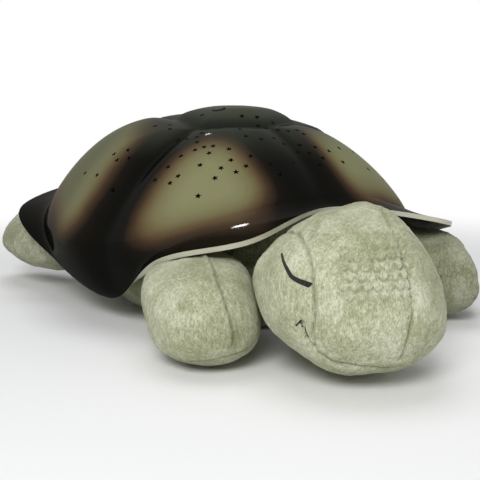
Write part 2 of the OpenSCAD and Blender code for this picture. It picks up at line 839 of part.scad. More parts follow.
body_waist_z = 27;
body_rise = 1.7;
body_size = [2 * body_half_w, 2 * body_half_l, 2 * (body_waist_z + sole_cut)];
body_centre = [0, 8, body_waist_z];
belly_seam_steps = 20;
belly_seam_r = 1.6;
module body_form(grow) {
    translate(body_centre)
        stuffed(body_size, 2.6, 0.04, grow, 36, 16, body_rise, 4);
}

flap_w = 56;
flap_l = 96;
flap_hinge_y = 46;
strip_l = 12;
strip_t = 0.9;
strip_gap = 0.3;
recess_top = flap_t + 2 * strip_t + strip_gap;

module plush_body() {
    color([0.71, 0.72, 0.58])
        difference() {
            body_form(0);
            below_floor();
            shell_room();
            // Seat of the clamp ring and the lamp tray, open to the dome
            translate([0, 0, plush_top])
                oval(tray_half_w + 2, tray_half_l + 2, 90);
            // Well round the battery box
            translate([-box_w / 2 - 0.6, box_y - box_l / 2 - 0.6, -1])
                cube([box_w + 1.2, box_l + 1.2, 90]);
            translate([-door_ear_w / 2 - 1, box_y, -1])
                cube([door_ear_w + 2, door_screw_y + door_ear_w / 2 + 1, 90]);
            // Recess for the belly flap
            translate([-flap_w / 2 - 0.6, flap_hinge_y - flap_l - 0.6, -1])
                cube([flap_w + 1.2, flap_l + 1.2, recess_top + 1]);
            // Rooms for the screws' heads
            for (p = boss_spots)
                translate([p[0], p[1], plush_top - 3])
                    cylinder(d = screw_head_d + 2, h = 6, $fn = 16);
            // Belly seam
            translate(body_centre)
                for (i = [0 : belly_seam_steps - 1])
                    hull()
                        for (k = [0, 1])
                            let (u = 360 * (i + k) / belly_seam_steps)
                            translate([body_half_w * 0.985 * sign(cos(u)) * pow(abs(cos(u)), 0.8),
                                       body_half_l * 0.985 * sign(sin(u)) * pow(abs(sin(u)), 0.8), -8])
                                sphere(r = belly_seam_r, $fn = 6);
        }
}

head_size = [head_w, head_l, head_h];
head_swell = 2.15;
neck_spot = [0, -70, 40];
head_reach = 76;
head_centre = [neck_spot[0] - head_reach * sin(head_turn), neck_spot[1] - head_reach * cos(head_turn),
               head_h / 2 - sole_cut];
module head_place() {
    translate(head_centre)
        rotate(-head_turn)
            children();
}
module head_form(grow) {
    head_place()
        stuffed(head_size, head_swell, 0.12, grow, 32, 18);
}

// The centre panel of the head, as a share of its half width
panel_share = 0.46;
module plush_head() {
    color([0.74, 0.75, 0.61])
        difference() {
            head_form(0);
            below_floor();
            shell_room();
            body_form(soft_gap);
            head_place()
                for (s = [-1, 1])
                    seam_groove(head_size * 0.985, s * panel_share, -60, 80, 12);
        }
}

// Flippers: the middle of each in plan, and where its tip heads, from -Y outwards
front_spot = [72, -79];
front_heading = 30;
rear_spot = [74, 118];
rear_heading = 158;
// The rear flippers are held a little off the floor
rear_lift = 8;

module flipper_place(spot, heading, base_z, t) {
    translate([spot[0], spot[1], base_z + t / 2])
        rotate(heading)
            children();
}

module front_form(side, grow) {
    mirror([side < 0 ? 1 : 0, 0, 0])
        flipper_place(front_spot, front_heading, -sole_cut, front_flipper_t)
            stuffed([front_flipper_w, front_flipper_l, front_flipper_t], 2.3, 0.15, grow, 24, 12);
}

module rear_form(side, grow) {
    mirror([side < 0 ? 1 : 0, 0, 0])
        flipper_place(rear_spot, rear_heading, rear_lift, rear_flipper_t)
            stuffed([rear_flipper_w, rear_flipper_l, rear_flipper_t], 2.3, 0.15, grow, 24, 12);
}

module front_flipper(side) {
    color([0.72, 0.73, 0.59])
        difference() {
            front_form(side, 0);
            below_floor();
            shell_room();
            body_form(soft_gap);
            head_form(soft_gap);
            mirror([side < 0 ? 1 : 0, 0, 0])
                flipper_place(front_spot, front_heading, -sole_cut, front_flipper_t)
                    seam_groove([0, front_flipper_l, front_flipper_t] * 0.985, 0, -70, 90, 10);
        }
}

module rear_flipper(side) {
    color([0.72, 0.73, 0.59])
        difference() {
            rear_form(side, 0);
            below_floor();
            shell_room();
            body_form(soft_gap);
            mirror([side < 0 ? 1 : 0, 0, 0])
                flipper_place(rear_spot, rear_heading, rear_lift, rear_flipper_t)
                    seam_groove([0, rear_flipper_l, rear_flipper_t] * 0.985, 0, -70, 90, 10);
        }
}

module front_right_flipper() front_flipper(-1);
module front_left_flipper() front_flipper(1);
module rear_right_flipper() rear_flipper(-1);
module rear_left_flipper() rear_flipper(1);

tail_size = [26, tail_l, 18];
tail_centre = [0, body_centre[1] + body_half_l + 12, 16];
module tail() {
    color([0.72, 0.73, 0.59])
        difference() {
            translate(tail_centre)
                stuffed(tail_size, 2, 0.6, 0, 16, 8);
            below_floor();
            shell_room();
            body_form(soft_gap);
            translate(tail_centre)
                seam_groove(tail_size * 0.985, 0, 100, 170, 8);
        }
}

module belly_flap() {
    color([0.68, 0.69, 0.55])
        translate([-flap_w / 2, flap_hinge_y - flap_l, 0])
            cube([flap_w, flap_l, flap_t]);
}

strip_y = flap_hinge_y - flap_l + 2;
module loop_strip() {
    color([0.62, 0.62, 0.5])
        translate([-flap_w / 2 + 4, strip_y, flap_t])
            cube([flap_w - 8, strip_l, strip_t]);
}

module hook_strip() {
    color([0.5, 0.5, 0.42])
        translate([-flap_w / 2 + 4, strip_y, recess_top - strip_t])
            cube([flap_w - 8, strip_l, strip_t]);
}

// ---- Stitched face ----------------------------------------------------------
// Closed eye: a stitched line that droops and thickens to its outer end
stitch_d = 1.8;
// Point of the head's skin at longitude u (0 at its left) and latitude v
function head_skin(u, v, lift) =
    let (e = 2 / head_swell,
         y = pow(cos(v), e) * sign(sin(u)) * pow(abs(sin(u)), e),
         k = 1 - 0.12 * (y + 1) / 2,
         p = [(head_w / 2 + lift) * k * pow(cos(v), e) * sign(cos(u)) * pow(abs(cos(u)), e),
              (head_l / 2 + lift) * y,
              (head_h / 2 + lift) * (1 - (1 - k) * 0.5) * sign(sin(v)) * pow(abs(sin(v)), e)])
    [head_centre[0] + p[0] * cos(head_turn) + p[1] * sin(head_turn),
     head_centre[1] - p[0] * sin(head_turn) + p[1] * cos(head_turn),
     head_centre[2] + p[2]];

eye_lift = stitch_d / 2 + 0.1;
module eye(side) {
    tube([for (k = [0 : 8])
          let (t = k / 8, u = 218 + 22 * t, v = 24 - 30 * t + 14 * t * t)
          head_skin(side < 0 ? u : 540 - u, v, eye_lift)], stitch_d, 6);
}

module eye_stitching() {
    color([0.08, 0.08, 0.07])
        for (s = [-1, 1])
            eye(s);
}

module mouth_stitching() {
    color([0.2, 0.19, 0.15])
        tube([for (k = [0 : 14])
              let (t = k / 14, u = 215 + 110 * t, v = -34 - 10 * sin(180 * t))
              head_skin(u, v, stitch_d / 3 + 0.1)], stitch_d / 1.5, 6);
}

shell();
button_frame();
button_power();
button_amber();
button_green();
button_blue();
button_board();
tact_switches();
button_screws();
lamp_tray();
battery_door();
door_screw();
battery_cells();
battery_contacts();
battery_springs();
tray_screws();
plush_clamp_ring();
main_board();
board_screws();
timer_chip();
lamp_tower();
led_amber();
led_green();
led_blue();
battery_lead();
button_lead();
plush_body();
plush_head();
front_right_flipper();
front_left_flipper();
rear_right_flipper();
rear_left_flipper();
tail();
belly_flap();
loop_strip();
hook_strip();
eye_stitching();
mouth_stitching();
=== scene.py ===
# %% [markdown]
# # A sleeping turtle night light
# The object is a hard, glossy shell with star-shaped holes, set in a stuffed plush
# turtle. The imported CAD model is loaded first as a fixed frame. Every visible piece
# is then built around it with bmesh operators, and carries its own finish.

# %% Load the frame
import json
import math
from functools import partial

import bmesh
import bpy
from mathutils import Matrix, Vector, noise
from mathutils.bvhtree import BVHTree
from mathutils.kdtree import KDTree

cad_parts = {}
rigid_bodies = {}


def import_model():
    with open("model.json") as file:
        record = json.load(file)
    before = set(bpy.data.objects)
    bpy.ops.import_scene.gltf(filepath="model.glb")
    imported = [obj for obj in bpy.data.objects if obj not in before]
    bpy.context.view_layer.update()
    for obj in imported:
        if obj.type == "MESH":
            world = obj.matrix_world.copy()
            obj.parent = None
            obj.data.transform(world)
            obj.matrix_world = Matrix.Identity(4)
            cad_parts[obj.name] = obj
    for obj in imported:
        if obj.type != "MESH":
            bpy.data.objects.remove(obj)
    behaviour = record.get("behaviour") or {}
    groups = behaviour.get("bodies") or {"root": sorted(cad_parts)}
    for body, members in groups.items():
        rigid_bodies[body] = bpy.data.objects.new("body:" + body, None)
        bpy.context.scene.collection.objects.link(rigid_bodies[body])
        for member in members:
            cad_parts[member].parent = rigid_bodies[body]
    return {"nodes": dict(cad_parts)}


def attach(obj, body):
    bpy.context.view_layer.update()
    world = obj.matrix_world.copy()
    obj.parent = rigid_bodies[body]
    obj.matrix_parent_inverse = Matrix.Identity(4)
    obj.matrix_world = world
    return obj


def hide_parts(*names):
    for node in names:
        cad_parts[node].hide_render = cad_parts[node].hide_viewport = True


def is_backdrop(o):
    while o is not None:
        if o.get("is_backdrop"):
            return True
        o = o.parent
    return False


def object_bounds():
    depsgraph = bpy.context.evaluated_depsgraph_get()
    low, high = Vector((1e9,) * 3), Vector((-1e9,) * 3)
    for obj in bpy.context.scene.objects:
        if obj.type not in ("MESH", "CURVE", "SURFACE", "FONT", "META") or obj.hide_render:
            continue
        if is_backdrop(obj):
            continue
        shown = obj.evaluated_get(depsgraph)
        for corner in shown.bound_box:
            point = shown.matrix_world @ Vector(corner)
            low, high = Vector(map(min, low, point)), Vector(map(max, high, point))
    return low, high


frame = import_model()
nodes = frame["nodes"]
cad_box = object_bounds()
MM = 0.001

# %% [markdown]
# ## Camera
# The photograph was taken from a little above the floor, in front of the turtle's
# right shoulder. Lens and place were worked out once from the outline of the shell.
# The picture is 480 by 480, so a focal length in pixels becomes one in millimetres
# on Blender's 36 mm wide sensor.

# %% Camera
PICTURE = 480
FOCAL_PX = 900.42
SENSOR = 36.0
CAMERA_PITCH = 9.04
CAMERA_YAW = -33.03
CAMERA_AT = Vector((-283.92, -435.95, 120.66))

camera_data = bpy.data.cameras.new("camera")
camera_data.sensor_width = SENSOR
camera_data.lens = FOCAL_PX / PICTURE * SENSOR
camera_data.clip_start = 0.01
camera = bpy.data.objects.new("camera", camera_data)
bpy.context.scene.collection.objects.link(camera)
camera.location = CAMERA_AT * MM
camera.rotation_euler = (math.radians(90 - CAMERA_PITCH), 0, math.radians(CAMERA_YAW))
bpy.context.scene.camera = camera
print("lens:", round(camera_data.lens, 2), "mm")


camera_turn = camera.rotation_euler.to_matrix()
MIDDLE = PICTURE / 2


def sight_line(px, py):
    """Start and direction, in metres, of the line of sight through a picture point."""
    ray = camera_turn @ Vector((px - MIDDLE, MIDDLE - py, -FOCAL_PX))
    return CAMERA_AT * MM, ray.normalized()


def facing(normal, way):
    """The normal, turned to the side that a direction points to."""
    return normal if normal.dot(way) > 0 else -normal


def seen_on(tree, px, py):
    """Point in mm and normal where a line of sight meets a surface, or two Nones."""
    start, ray = sight_line(px, py)
    hit, normal, _, _ = tree.ray_cast(start / MM, ray)
    return hit, facing(normal, -ray) if hit else None


def in_picture(p):
    """Picture point of a point in mm, and how far in front of the camera it lies."""
    q = camera_turn.transposed() @ (p - CAMERA_AT)
    return Vector((MIDDLE - q.x / q.z * FOCAL_PX, MIDDLE + q.y / q.z * FOCAL_PX)), -q.z


def slide(p, across, down):
    """Moves a point in mm by picture points, square to the camera's axis."""
    return p + camera_turn @ Vector((across, -down, 0)) * (in_picture(p)[1] / FOCAL_PX)


# %% [markdown]
# ## Studio
# The object stands on a plain white floor under large soft lamps. The floor runs far
# back, so its own colour and the white world make the background. The lamps are kept
# at a plain level, so that a colour renders about as it is written.

# %% Floor, world and lamps
scene = bpy.context.scene
scene.view_settings.view_transform = "Standard"


def new_object(name, bm, material=None):
    """Makes an object at the origin from a bmesh in millimetres."""
    bmesh.ops.scale(bm, vec=(MM, MM, MM), verts=bm.verts)
    mesh = bpy.data.meshes.new(name)
    bm.to_mesh(mesh)
    bm.free()
    obj = bpy.data.objects.new(name, mesh)
    scene.collection.objects.link(obj)
    if material:
        mesh.materials.append(material)
    return obj


def fade(value, low, high):
    """0 up to low, 1 from high on, and a smooth step between."""
    t = min(max((value - low) / (high - low), 0.0), 1.0)
    return t * t * (3 - 2 * t)


def bell(value, half):
    """1 at nought, falling off to either side."""
    return math.exp(-(value / half) ** 2)


def tree_of(obj):
    """A search tree of an object's faces, in mm."""
    return BVHTree.FromPolygons([v.co / MM for v in obj.data.vertices],
                                [p.vertices for p in obj.data.polygons])


def rounded(mesh, sharp=None):
    """Shades a mesh smooth, apart from edges sharper than an angle in degrees."""
    for face in mesh.polygons:
        face.use_smooth = True
    if sharp:
        mesh.set_sharp_from_angle(angle=math.radians(sharp))


# Which output of a node is meant, where it isn't the first
OUTPUTS = {"TexNoise": "Fac", "Attribute": "Fac", "TexCoord": "Object", "VectorMath": "Value"}


def fill_in(node, *inputs, **values):
    """Sets a node's settings and inputs. An output given as a value is linked in."""
    put = dict(enumerate(inputs))
    for key, value in values.items():
        if hasattr(node, key):
            setattr(node, key, value)
        else:
            put[key.replace("_", " ")] = value
    for key, value in put.items():
        if isinstance(value, bpy.types.NodeSocket):
            node.id_data.links.new(value, node.inputs[key])
        else:
            node.inputs[key].default_value = value


def add_node(tree, kind, *inputs, **values):
    """Adds a node and gives its output."""
    node = tree.nodes.new("ShaderNode" + kind)
    fill_in(node, *inputs, **values)
    return node.outputs[OUTPUTS.get(kind, 0)]


def colour_ramp(tree, amount, stops):
    """A ramp through stops, each a place and a colour."""
    node = tree.nodes.new("ShaderNodeValToRGB")
    elements = node.color_ramp.elements
    while len(elements) < len(stops):
        elements.new(0.5)
    for element, (at, colour) in zip(elements, stops):
        element.position = at
        element.color = (*colour, 1)
    tree.links.new(amount, node.inputs["Fac"])
    return node.outputs["Color"]


def empty_material(name):
    """A new material: its tree, its shader and a maker of further nodes."""
    material = bpy.data.materials.new(name)
    material.use_nodes = True
    tree = material.node_tree
    return material, tree, tree.nodes["Principled BSDF"], partial(add_node, tree)


def looking_ray(tree):
    """1 where the background is looked at: directly, in gloss or through glass."""
    rays = tree.nodes.new("ShaderNodeLightPath").outputs
    total = rays["Is Camera Ray"]
    for kind in ("Is Glossy Ray", "Is Transmission Ray"):
        total = add_node(tree, "Math", total, rays[kind], operation="MAXIMUM")
    return total


FLOOR_NEAR, FLOOR_FAR = 0.20, 0.48
PAPER = ((0, (0.90, 0.90, 0.90)), (1, (0.93, 0.93, 0.93)))
WHITE = (1, 1, 1, 1)


def floor_material():
    """White paper that keeps the shadow near the object and is plain white far off."""
    material, tree, shader, add = empty_material("floor_white")
    place = add("TexCoord")
    tint = add("TexNoise", Scale=3.0, Vector=place)
    fill_in(shader, Base_Color=colour_ramp(tree, tint, PAPER), Roughness=0.9)
    away = add("VectorMath", place, operation="LENGTH")
    far = add("MapRange", interpolation_type="SMOOTHSTEP", From_Min=FLOOR_NEAR,
              From_Max=FLOOR_FAR, Value=away)
    only_seen = add("Math", far, looking_ray(tree), operation="MULTIPLY")
    mix = add("MixShader", only_seen, shader.outputs[0], add("Emission", Color=WHITE))
    tree.links.new(mix, tree.nodes["Material Output"].inputs["Surface"])
    return material


floor_bm = bmesh.new()
bmesh.ops.create_grid(floor_bm, x_segments=2, y_segments=2, size=6000)
floor = new_object("floor", floor_bm, floor_material())
floor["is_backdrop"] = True

WORLD_LIGHT, WORLD_COLOUR = 0.27, (0.95, 0.97, 1.0, 1)
world = bpy.data.worlds.new("studio")
scene.world = world
world.use_nodes = True
world_tree = world.node_tree
background = world_tree.nodes["Background"]
fill_in(background, Color=WORLD_COLOUR, Strength=WORLD_LIGHT)
seen = add_node(world_tree, "Background", Color=WHITE, Strength=1.0)
choose = add_node(world_tree, "MixShader", looking_ray(world_tree), background.outputs[0], seen)
world_tree.links.new(choose, world_tree.nodes["World Output"].inputs["Surface"])


def soft_lamp(name, at, aim, size, power, beam=None):
    """An area lamp that faces a point. One with a narrow beam shows in the gloss."""
    data = bpy.data.lights.new(name, "AREA")
    data.shape = "RECTANGLE"
    data.size, data.size_y = size
    data.energy = power
    lamp = bpy.data.objects.new(name, data)
    scene.collection.objects.link(lamp)
    lamp.visible_glossy, lamp.visible_diffuse = beam is not None, beam is None
    if beam:
        data.spread = math.radians(beam)
    lamp.location = at
    lamp.rotation_euler = (Vector(aim) - Vector(at)).to_track_quat("-Z", "Y").to_euler()
    return lamp


soft_lamp("key", (-0.76, -0.80, 0.74), (-0.03, -0.08, 0.05), (0.5, 0.4), 10.5)
soft_lamp("fill", (0.9, -1.2, 0.8), (0, 0, 0.05), (1.0, 0.8), 1.1)
soft_lamp("top", (0.0, 0.2, 1.5), (0, 0, 0.05), (1.1, 0.9), 6.5)

# %% [markdown]
# ## The shell's surface
# The shell is one moulding: six swelling scutes over a waving flange. It is written as
# a formula with the source's sizes, and a grid's vertices are moved onto it. Two things
# follow the photograph instead: the crown scute is smaller, so that its front edge lies
# further back, and each scute swells by its own height. Angles go round the crown, and
# s runs from 0 at the crown over the groove at 1 to the rim at 2.

# %% Sizes and formula of the shell
HALF_WIDTH, FRONT, REAR = 98.0, 84.0, 102.0
TOP, CROWN_Y = 116.0, 6.0
GROOVE_FRONT, GROOVE_SIDE, GROOVE_REAR = 70.0, 45.0, 74.0
WALL = 2.4
BULGE, BLEND = 6.0, 16.0
PLAN_POWER = 2.25
FRONT_ROUND, REAR_ROUND, STEEP = 1.95, 2.9, 0.86
VALLEY_SOFTNESS, GROOVE_SOFTNESS = 5.0, 8.0
# The crown scute loses this much of its reach; the scutes swell by these heights
CROWN_SCUTE, CROWN_SHRINK = 2, 10.0
SCUTE_BULGES = (4.0, 4.0, 7.5, 6.0, 8.5, 8.5)
# The scutes swell away from this height; the flange bends down and out at its knee
SWELL_FROM, GROOVE_END = 20.0, 0.9999
KNEE_OUT, KNEE_DOWN = 0.4, 0.75
SCUTES = [Vector(p) for p in ((-48, -68), (48, -68), (0, 24), (0, 62), (-64, 42), (64, 42))]
RIM = [(-90, 6, 66), (-60, 35, 57), (-38.5, 18.5, 45), (-6, -13.5, 14),
       (23, 2.5, 27), (45.5, 30.5, 55), (90, 11, 70)]


def dome_radius(angle):
    reach = FRONT if math.sin(angle) < 0 else REAR
    across = abs(math.cos(angle)) / HALF_WIDTH
    along = abs(math.sin(angle)) / reach
    return (across ** PLAN_POWER + along ** PLAN_POWER) ** (-1 / PLAN_POWER)


def groove_height(angle):
    end = GROOVE_FRONT if math.sin(angle) < 0 else GROOVE_REAR
    return GROOVE_SIDE + (end - GROOVE_SIDE) * math.sin(angle) ** 2


def scute_reach(x, y, i):
    """How far a plan point lies from a scute's middle; the crown's counts for more."""
    return (Vector((x, y)) - SCUTES[i]).length + (CROWN_SHRINK if i == CROWN_SCUTE else 0)


def scute_index(x, y):
    return min(range(len(SCUTES)), key=lambda i: scute_reach(x, y, i))


def scute_depth(x, y):
    """How far a plan point lies from the edge of its scute."""
    near = sorted(scute_reach(x, y, i) for i in range(len(SCUTES)))
    return near[1] - near[0]


def dome_point(angle, q, depth=None):
    """Point of the dome; the depth in its scute may be given instead of measured."""
    r = q * dome_radius(angle)
    x, y = r * math.cos(angle), r * math.sin(angle) + CROWN_Y
    power = FRONT_ROUND + (REAR_ROUND - FRONT_ROUND) * (0.5 + 0.5 * math.sin(angle))
    base = groove_height(angle)
    z = base + (TOP - BULGE - base) * max(0.0, 1 - q ** power) ** STEEP
    out = Vector((x / HALF_WIDTH ** 2, (y - CROWN_Y) / ((FRONT + REAR) / 2) ** 2,
                  (z - SWELL_FROM) / TOP ** 2)).normalized()
    bulge = BULGE
    if depth is None:
        soft = VALLEY_SOFTNESS + GROOVE_SOFTNESS * q ** 4
        depth = math.hypot(scute_depth(x, y), soft) - soft
        bulge = SCUTE_BULGES[scute_index(x, y)]
    return Vector((x, y, z)) + out * bulge * (1 - math.exp(-depth / BLEND))


def station(angle, overhang, height):
    angle = math.radians(angle)
    r = dome_radius(angle) + overhang
    return Vector((r * math.cos(angle), r * math.sin(angle) + CROWN_Y, height))


rim_right = [station(*s) for s in RIM]
rim_knots = rim_right + [Vector((-p.x, p.y, p.z)) for p in rim_right[-2:0:-1]]


def catmull(a, b, c, d, t):
    """Point between b and c on a smooth curve that also heads for a and d."""
    return 0.5 * (2 * b + (c - a) * t + (2 * a - 5 * b + 4 * c - d) * t * t
                  + (3 * b - a - 3 * c + d) * t * t * t)


def rim_point(turn):
    """Point of the rim, where turn goes from 0 to 1 round the shell."""
    count = len(rim_knots)
    i, t = divmod(turn * count, 1)
    i = int(i)
    return catmull(*(rim_knots[(i + k) % count] for k in (-1, 0, 1, 2)), t)


def shell_point(turn, s):
    rim = rim_point(turn)
    angle = math.atan2(rim.y - CROWN_Y, rim.x)
    if s <= 1:
        return dome_point(angle, s * GROOVE_END)
    groove = dome_point(angle, GROOVE_END)
    knee = Vector((groove.x * (1 - KNEE_OUT) + rim.x * KNEE_OUT,
                   groove.y * (1 - KNEE_OUT) + rim.y * KNEE_OUT,
                   groove.z * (1 - KNEE_DOWN) + rim.z * KNEE_DOWN))
    t = s - 1
    return groove * (1 - t) ** 2 + knee * 2 * t * (1 - t) + rim * t * t


print("rim:", len(rim_knots), "stations; crown at", round(dome_point(0, 0).z, 1), "mm")

# %% [markdown]
# ## The shell's mesh
# A flat grid is wrapped round the crown: its columns become angles and its rows go
# from the crown to the rim. The row at the crown shrinks to one point and the two
# side edges meet, so doubles are merged before the wall gets its thickness. Solidify
# gives the inner skin and the edge materials of their own: the real edge stays
# unpainted and shows as a cream line.

# %% Wrap a grid into the shell
COLUMNS, ROWS = 300, 104
DOME_SHARE = 0.7


def row_to_s(share):
    if share < DOME_SHARE:
        return math.sin(math.pi / 2 * share / DOME_SHARE)
    return 1 + (share - DOME_SHARE) / (1 - DOME_SHARE)


def wrap_shell():
    bm = bmesh.new()
    bmesh.ops.create_grid(bm, x_segments=COLUMNS, y_segments=ROWS, size=0.5)
    for v in bm.verts:
        v.co = shell_point((v.co.x + 0.5) % 1, row_to_s(v.co.y + 0.5))
    bmesh.ops.remove_doubles(bm, verts=bm.verts, dist=0.01)
    bmesh.ops.recalc_face_normals(bm, faces=bm.faces)
    top = max(bm.faces, key=lambda f: f.calc_center_median().z)
    if top.normal.z < 0:
        bmesh.ops.reverse_faces(bm, faces=bm.faces)
    return bm


shell_bm = wrap_shell()
skin_tree = BVHTree.FromBMesh(shell_bm)
print("shell skin:", len(shell_bm.faces), "faces")


def on_skin(x, y):
    """Point and outward normal of the shell's skin above a plan point, in mm."""
    hit, normal, _, _ = skin_tree.ray_cast(Vector((x, y, 300)), Vector((0, 0, -1)))
    return hit, facing(normal, Vector((0, 0, 1)))


# %% [markdown]
# ## Lamp for the glint
# A small window shows in the gloss of the flange. Its place follows from the skin:
# the line of sight to the glint, mirrored there, leads to the lamp.

# %% Window lamp
GLINT_AT, GLINT_FAR = (240, 226), 0.30
GLINT_SIZE, GLINT_POWER, GLINT_BEAM = (0.026, 0.014), 0.00010, 4
glint, glint_normal = seen_on(skin_tree, *GLINT_AT)
sight = sight_line(*GLINT_AT)[1]
lamp_at = glint * MM + sight.reflect(glint_normal) * GLINT_FAR
soft_lamp("window", lamp_at, glint * MM, GLINT_SIZE, GLINT_POWER, GLINT_BEAM)
print("window lamp at", [round(c, 2) for c in lamp_at])

# %% [markdown]
# ## Star cut-outs
# The stars are real holes, through which the lamps shine. On the two scutes that face
# the camera each star is placed where the photograph shows one, by a line of sight
# onto the skin. The hidden scutes mirror them or are scattered by the golden angle, as
# seeds are in a sunflower. Every star is a short prism that a Boolean takes away.

# %% Places of the stars
FRONT_RIGHT_STARS = [(198, 196), (215, 178), (221, 168), (236, 172), (246, 166), (231, 160),
                     (200, 165), (209, 153), (213, 146), (229, 149), (195, 150), (204, 147),
                     (181, 156), (168, 167), (178, 176), (170, 183), (155, 180), (251, 156),
                     (280, 174), (197, 137), (187, 139), (178, 140), (202, 133), (197, 142)]
REAR_RIGHT_STARS = [(117, 160), (128, 150), (129, 158), (114, 154), (113, 190), (97, 175),
                    (85, 173), (155, 126), (170, 125), (170, 129)]
CROWN_STARS = [(202, 115), (183, 114), (242, 116), (257, 117), (219, 128), (240, 129)]
FRONT_LEFT_STARS = [(258, 126), (267, 128), (278, 130), (288, 131), (292, 134), (304, 134),
                    (297, 130), (273, 123), (246, 136), (261, 139), (274, 138), (284, 144),
                    (300, 145), (298, 152), (309, 153), (315, 147), (329, 151), (339, 148),
                    (353, 152), (323, 158), (343, 162), (368, 169), (320, 165), (271, 164),
                    (294, 163)]
MOON_AT = (219, 109)
GOLDEN_ANGLE = math.radians(137.508)
STAR_WIDTH, STAR_WAIST, STAR_SPACING = 3.7, 0.46, 4.6
CUT_DEPTH = 9.0
# Middle, half size, number of stars and first angle of each scattered field
SEED_FIELDS = [((0, 50), (24, 9), 7, 0), ((0, 30), (20, 8), 6, 40), ((-60, 62), (16, 14), 5, 10),
               ((60, 62), (16, 14), 5, 190), ((66, -52), (12, 12), 5, 70)]
star_places = []


def seed_field(middle, half, count, first):
    """Plan points of a field of stars, scattered by the golden angle."""
    for i in range(count):
        r = math.sqrt((i + 0.6) / count)
        a = math.radians(first) + GOLDEN_ANGLE * i
        yield middle[0] + half[0] * r * math.cos(a), middle[1] + half[1] * r * math.sin(a)


def add_star(at, normal):
    """Keeps a star unless it would run into an earlier one."""
    if at and all((at - other).length > STAR_SPACING for other, _ in star_places):
        star_places.append((at, normal))


for spots in (FRONT_RIGHT_STARS, REAR_RIGHT_STARS, CROWN_STARS, FRONT_LEFT_STARS):
    for spot in spots:
        at, normal = seen_on(skin_tree, *spot)
        add_star(at, normal)
        if at and spots is REAR_RIGHT_STARS:
            flip = Vector((-1, 1, 1))
            add_star(at * flip, normal * flip)
for field in SEED_FIELDS:
    for x, y in seed_field(*field):
        add_star(*on_skin(x, y))
print("stars:", len(star_places))

# %% Cutters for the stars and the crescent
STAR_TURN, MOON_TURN = 25, 140
MOON_WIDTH, MOON_STEPS = 8.0, 9
# The crescent's two arcs by start and sweep, and the inner one's size and shift
MOON_OUTER, MOON_INNER = (50, 260), (262, -164)
MOON_BITE, MOON_SHIFT = 0.4, 0.26


def standing_on(at, normal, turn):
    """Places a shape on the skin, its z along the normal, turned by degrees."""
    return (Matrix.Translation(at) @ normal.to_track_quat("Z", "Y").to_matrix().to_4x4()
            @ Matrix.Rotation(math.radians(turn), 4, "Z"))


def new_verts(geom):
    return [g for g in geom if isinstance(g, bmesh.types.BMVert)]


def prism(bm, outline, depth, place):
    """A prism over an outline in the xy plane, centred on it in depth."""
    ring = [bm.verts.new((x, y, -depth / 2)) for x, y in outline]
    face = bm.faces.new(ring)
    top = new_verts(bmesh.ops.extrude_face_region(bm, geom=[face])["geom"])
    bmesh.ops.translate(bm, vec=(0, 0, depth), verts=top)
    bmesh.ops.transform(bm, matrix=place, verts=ring + top)


def arc(radius, start, sweep, steps, middle=0.0):
    """Points on an arc about a point of the x axis, from a start angle in degrees."""
    turns = [math.radians(start + sweep * k / (steps - 1)) for k in range(steps)]
    return [(middle + radius * math.cos(a), radius * math.sin(a)) for a in turns]


def star_outline():
    points = []
    for k in range(10):
        r = STAR_WIDTH / 2 * (1 if k % 2 == 0 else STAR_WAIST)
        a = math.radians(36 * k + 90)
        points.append((r * math.cos(a), r * math.sin(a)))
    return points


def moon_outline():
    return (arc(MOON_WIDTH / 2, *MOON_OUTER, MOON_STEPS)
            + arc(MOON_WIDTH * MOON_BITE, *MOON_INNER, MOON_STEPS, MOON_WIDTH * MOON_SHIFT))


cutter_bm = bmesh.new()
for i, (at, normal) in enumerate(star_places):
    prism(cutter_bm, star_outline(), CUT_DEPTH, standing_on(at, normal, STAR_TURN * i))
prism(cutter_bm, moon_outline(), CUT_DEPTH,
      standing_on(*seen_on(skin_tree, *MOON_AT), MOON_TURN))

# %% [markdown]
# ## The opening for the buttons
# The button panel lies in a capsule-shaped opening in the rear scute. It leans back
# with the slope. The same prism cuts it, with the capsule as its outline.

# %% The capsule opening
PANEL_Y, PANEL_TILT, PANEL_SINK = 72.0, 33.0, 1.6
# The depth in its scute at which the source's shell carries the panel
PANEL_DEPTH, PANEL_CUT = 52.0, 30
PANEL_HALF, PANEL_WIDTH, PANEL_SLACK, PANEL_MARGIN = 15.0, 13.0, 0.25, 3.0
panel_skin = dome_point(math.pi / 2, (PANEL_Y - CROWN_Y) / REAR, PANEL_DEPTH)
panel_place = (Matrix.Translation(panel_skin)
               @ Matrix.Rotation(math.radians(-PANEL_TILT), 4, "X")
               @ Matrix.Translation((0, 0, -PANEL_SINK)))


def capsule(grow):
    end = arc(PANEL_WIDTH / 2 + grow, -90, 180, 13, PANEL_HALF)
    return end + [(-x, -y) for x, y in end]


prism(cutter_bm, capsule(PANEL_SLACK), PANEL_CUT, panel_place)
bmesh.ops.recalc_face_normals(cutter_bm, faces=cutter_bm.faces)
cutter = new_object("cutter", cutter_bm)

# %% [markdown]
# ## Plastic and paint
# Moulded plastic is a cloudy colour with a fine grain and an uneven gloss. The shell's
# coat reads two values that are written on the mesh after the cut: how bare the
# plastic is, which one ramp turns into black, brown and olive, and how much painted
# green sheen lies over it, a painted reflection of the bright room on top.

# %% Materials of the hard pieces
GLOSS_SPREAD = 0.06
COAT_STOPS = ((0.00, (0.004, 0.004, 0.003)), (0.15, (0.009, 0.007, 0.005)),
              (0.33, (0.050, 0.030, 0.017)), (0.50, (0.110, 0.078, 0.038)),
              (0.70, (0.160, 0.145, 0.070)), (1.00, (0.205, 0.205, 0.105)))
# Colour of the painted sheen, a painted reflection over the dark coat on top
PAINTED_SHEEN_COLOUR = (0.052, 0.058, 0.042, 1)
SPECKLE, CLOUDING = 0.05, 0.10


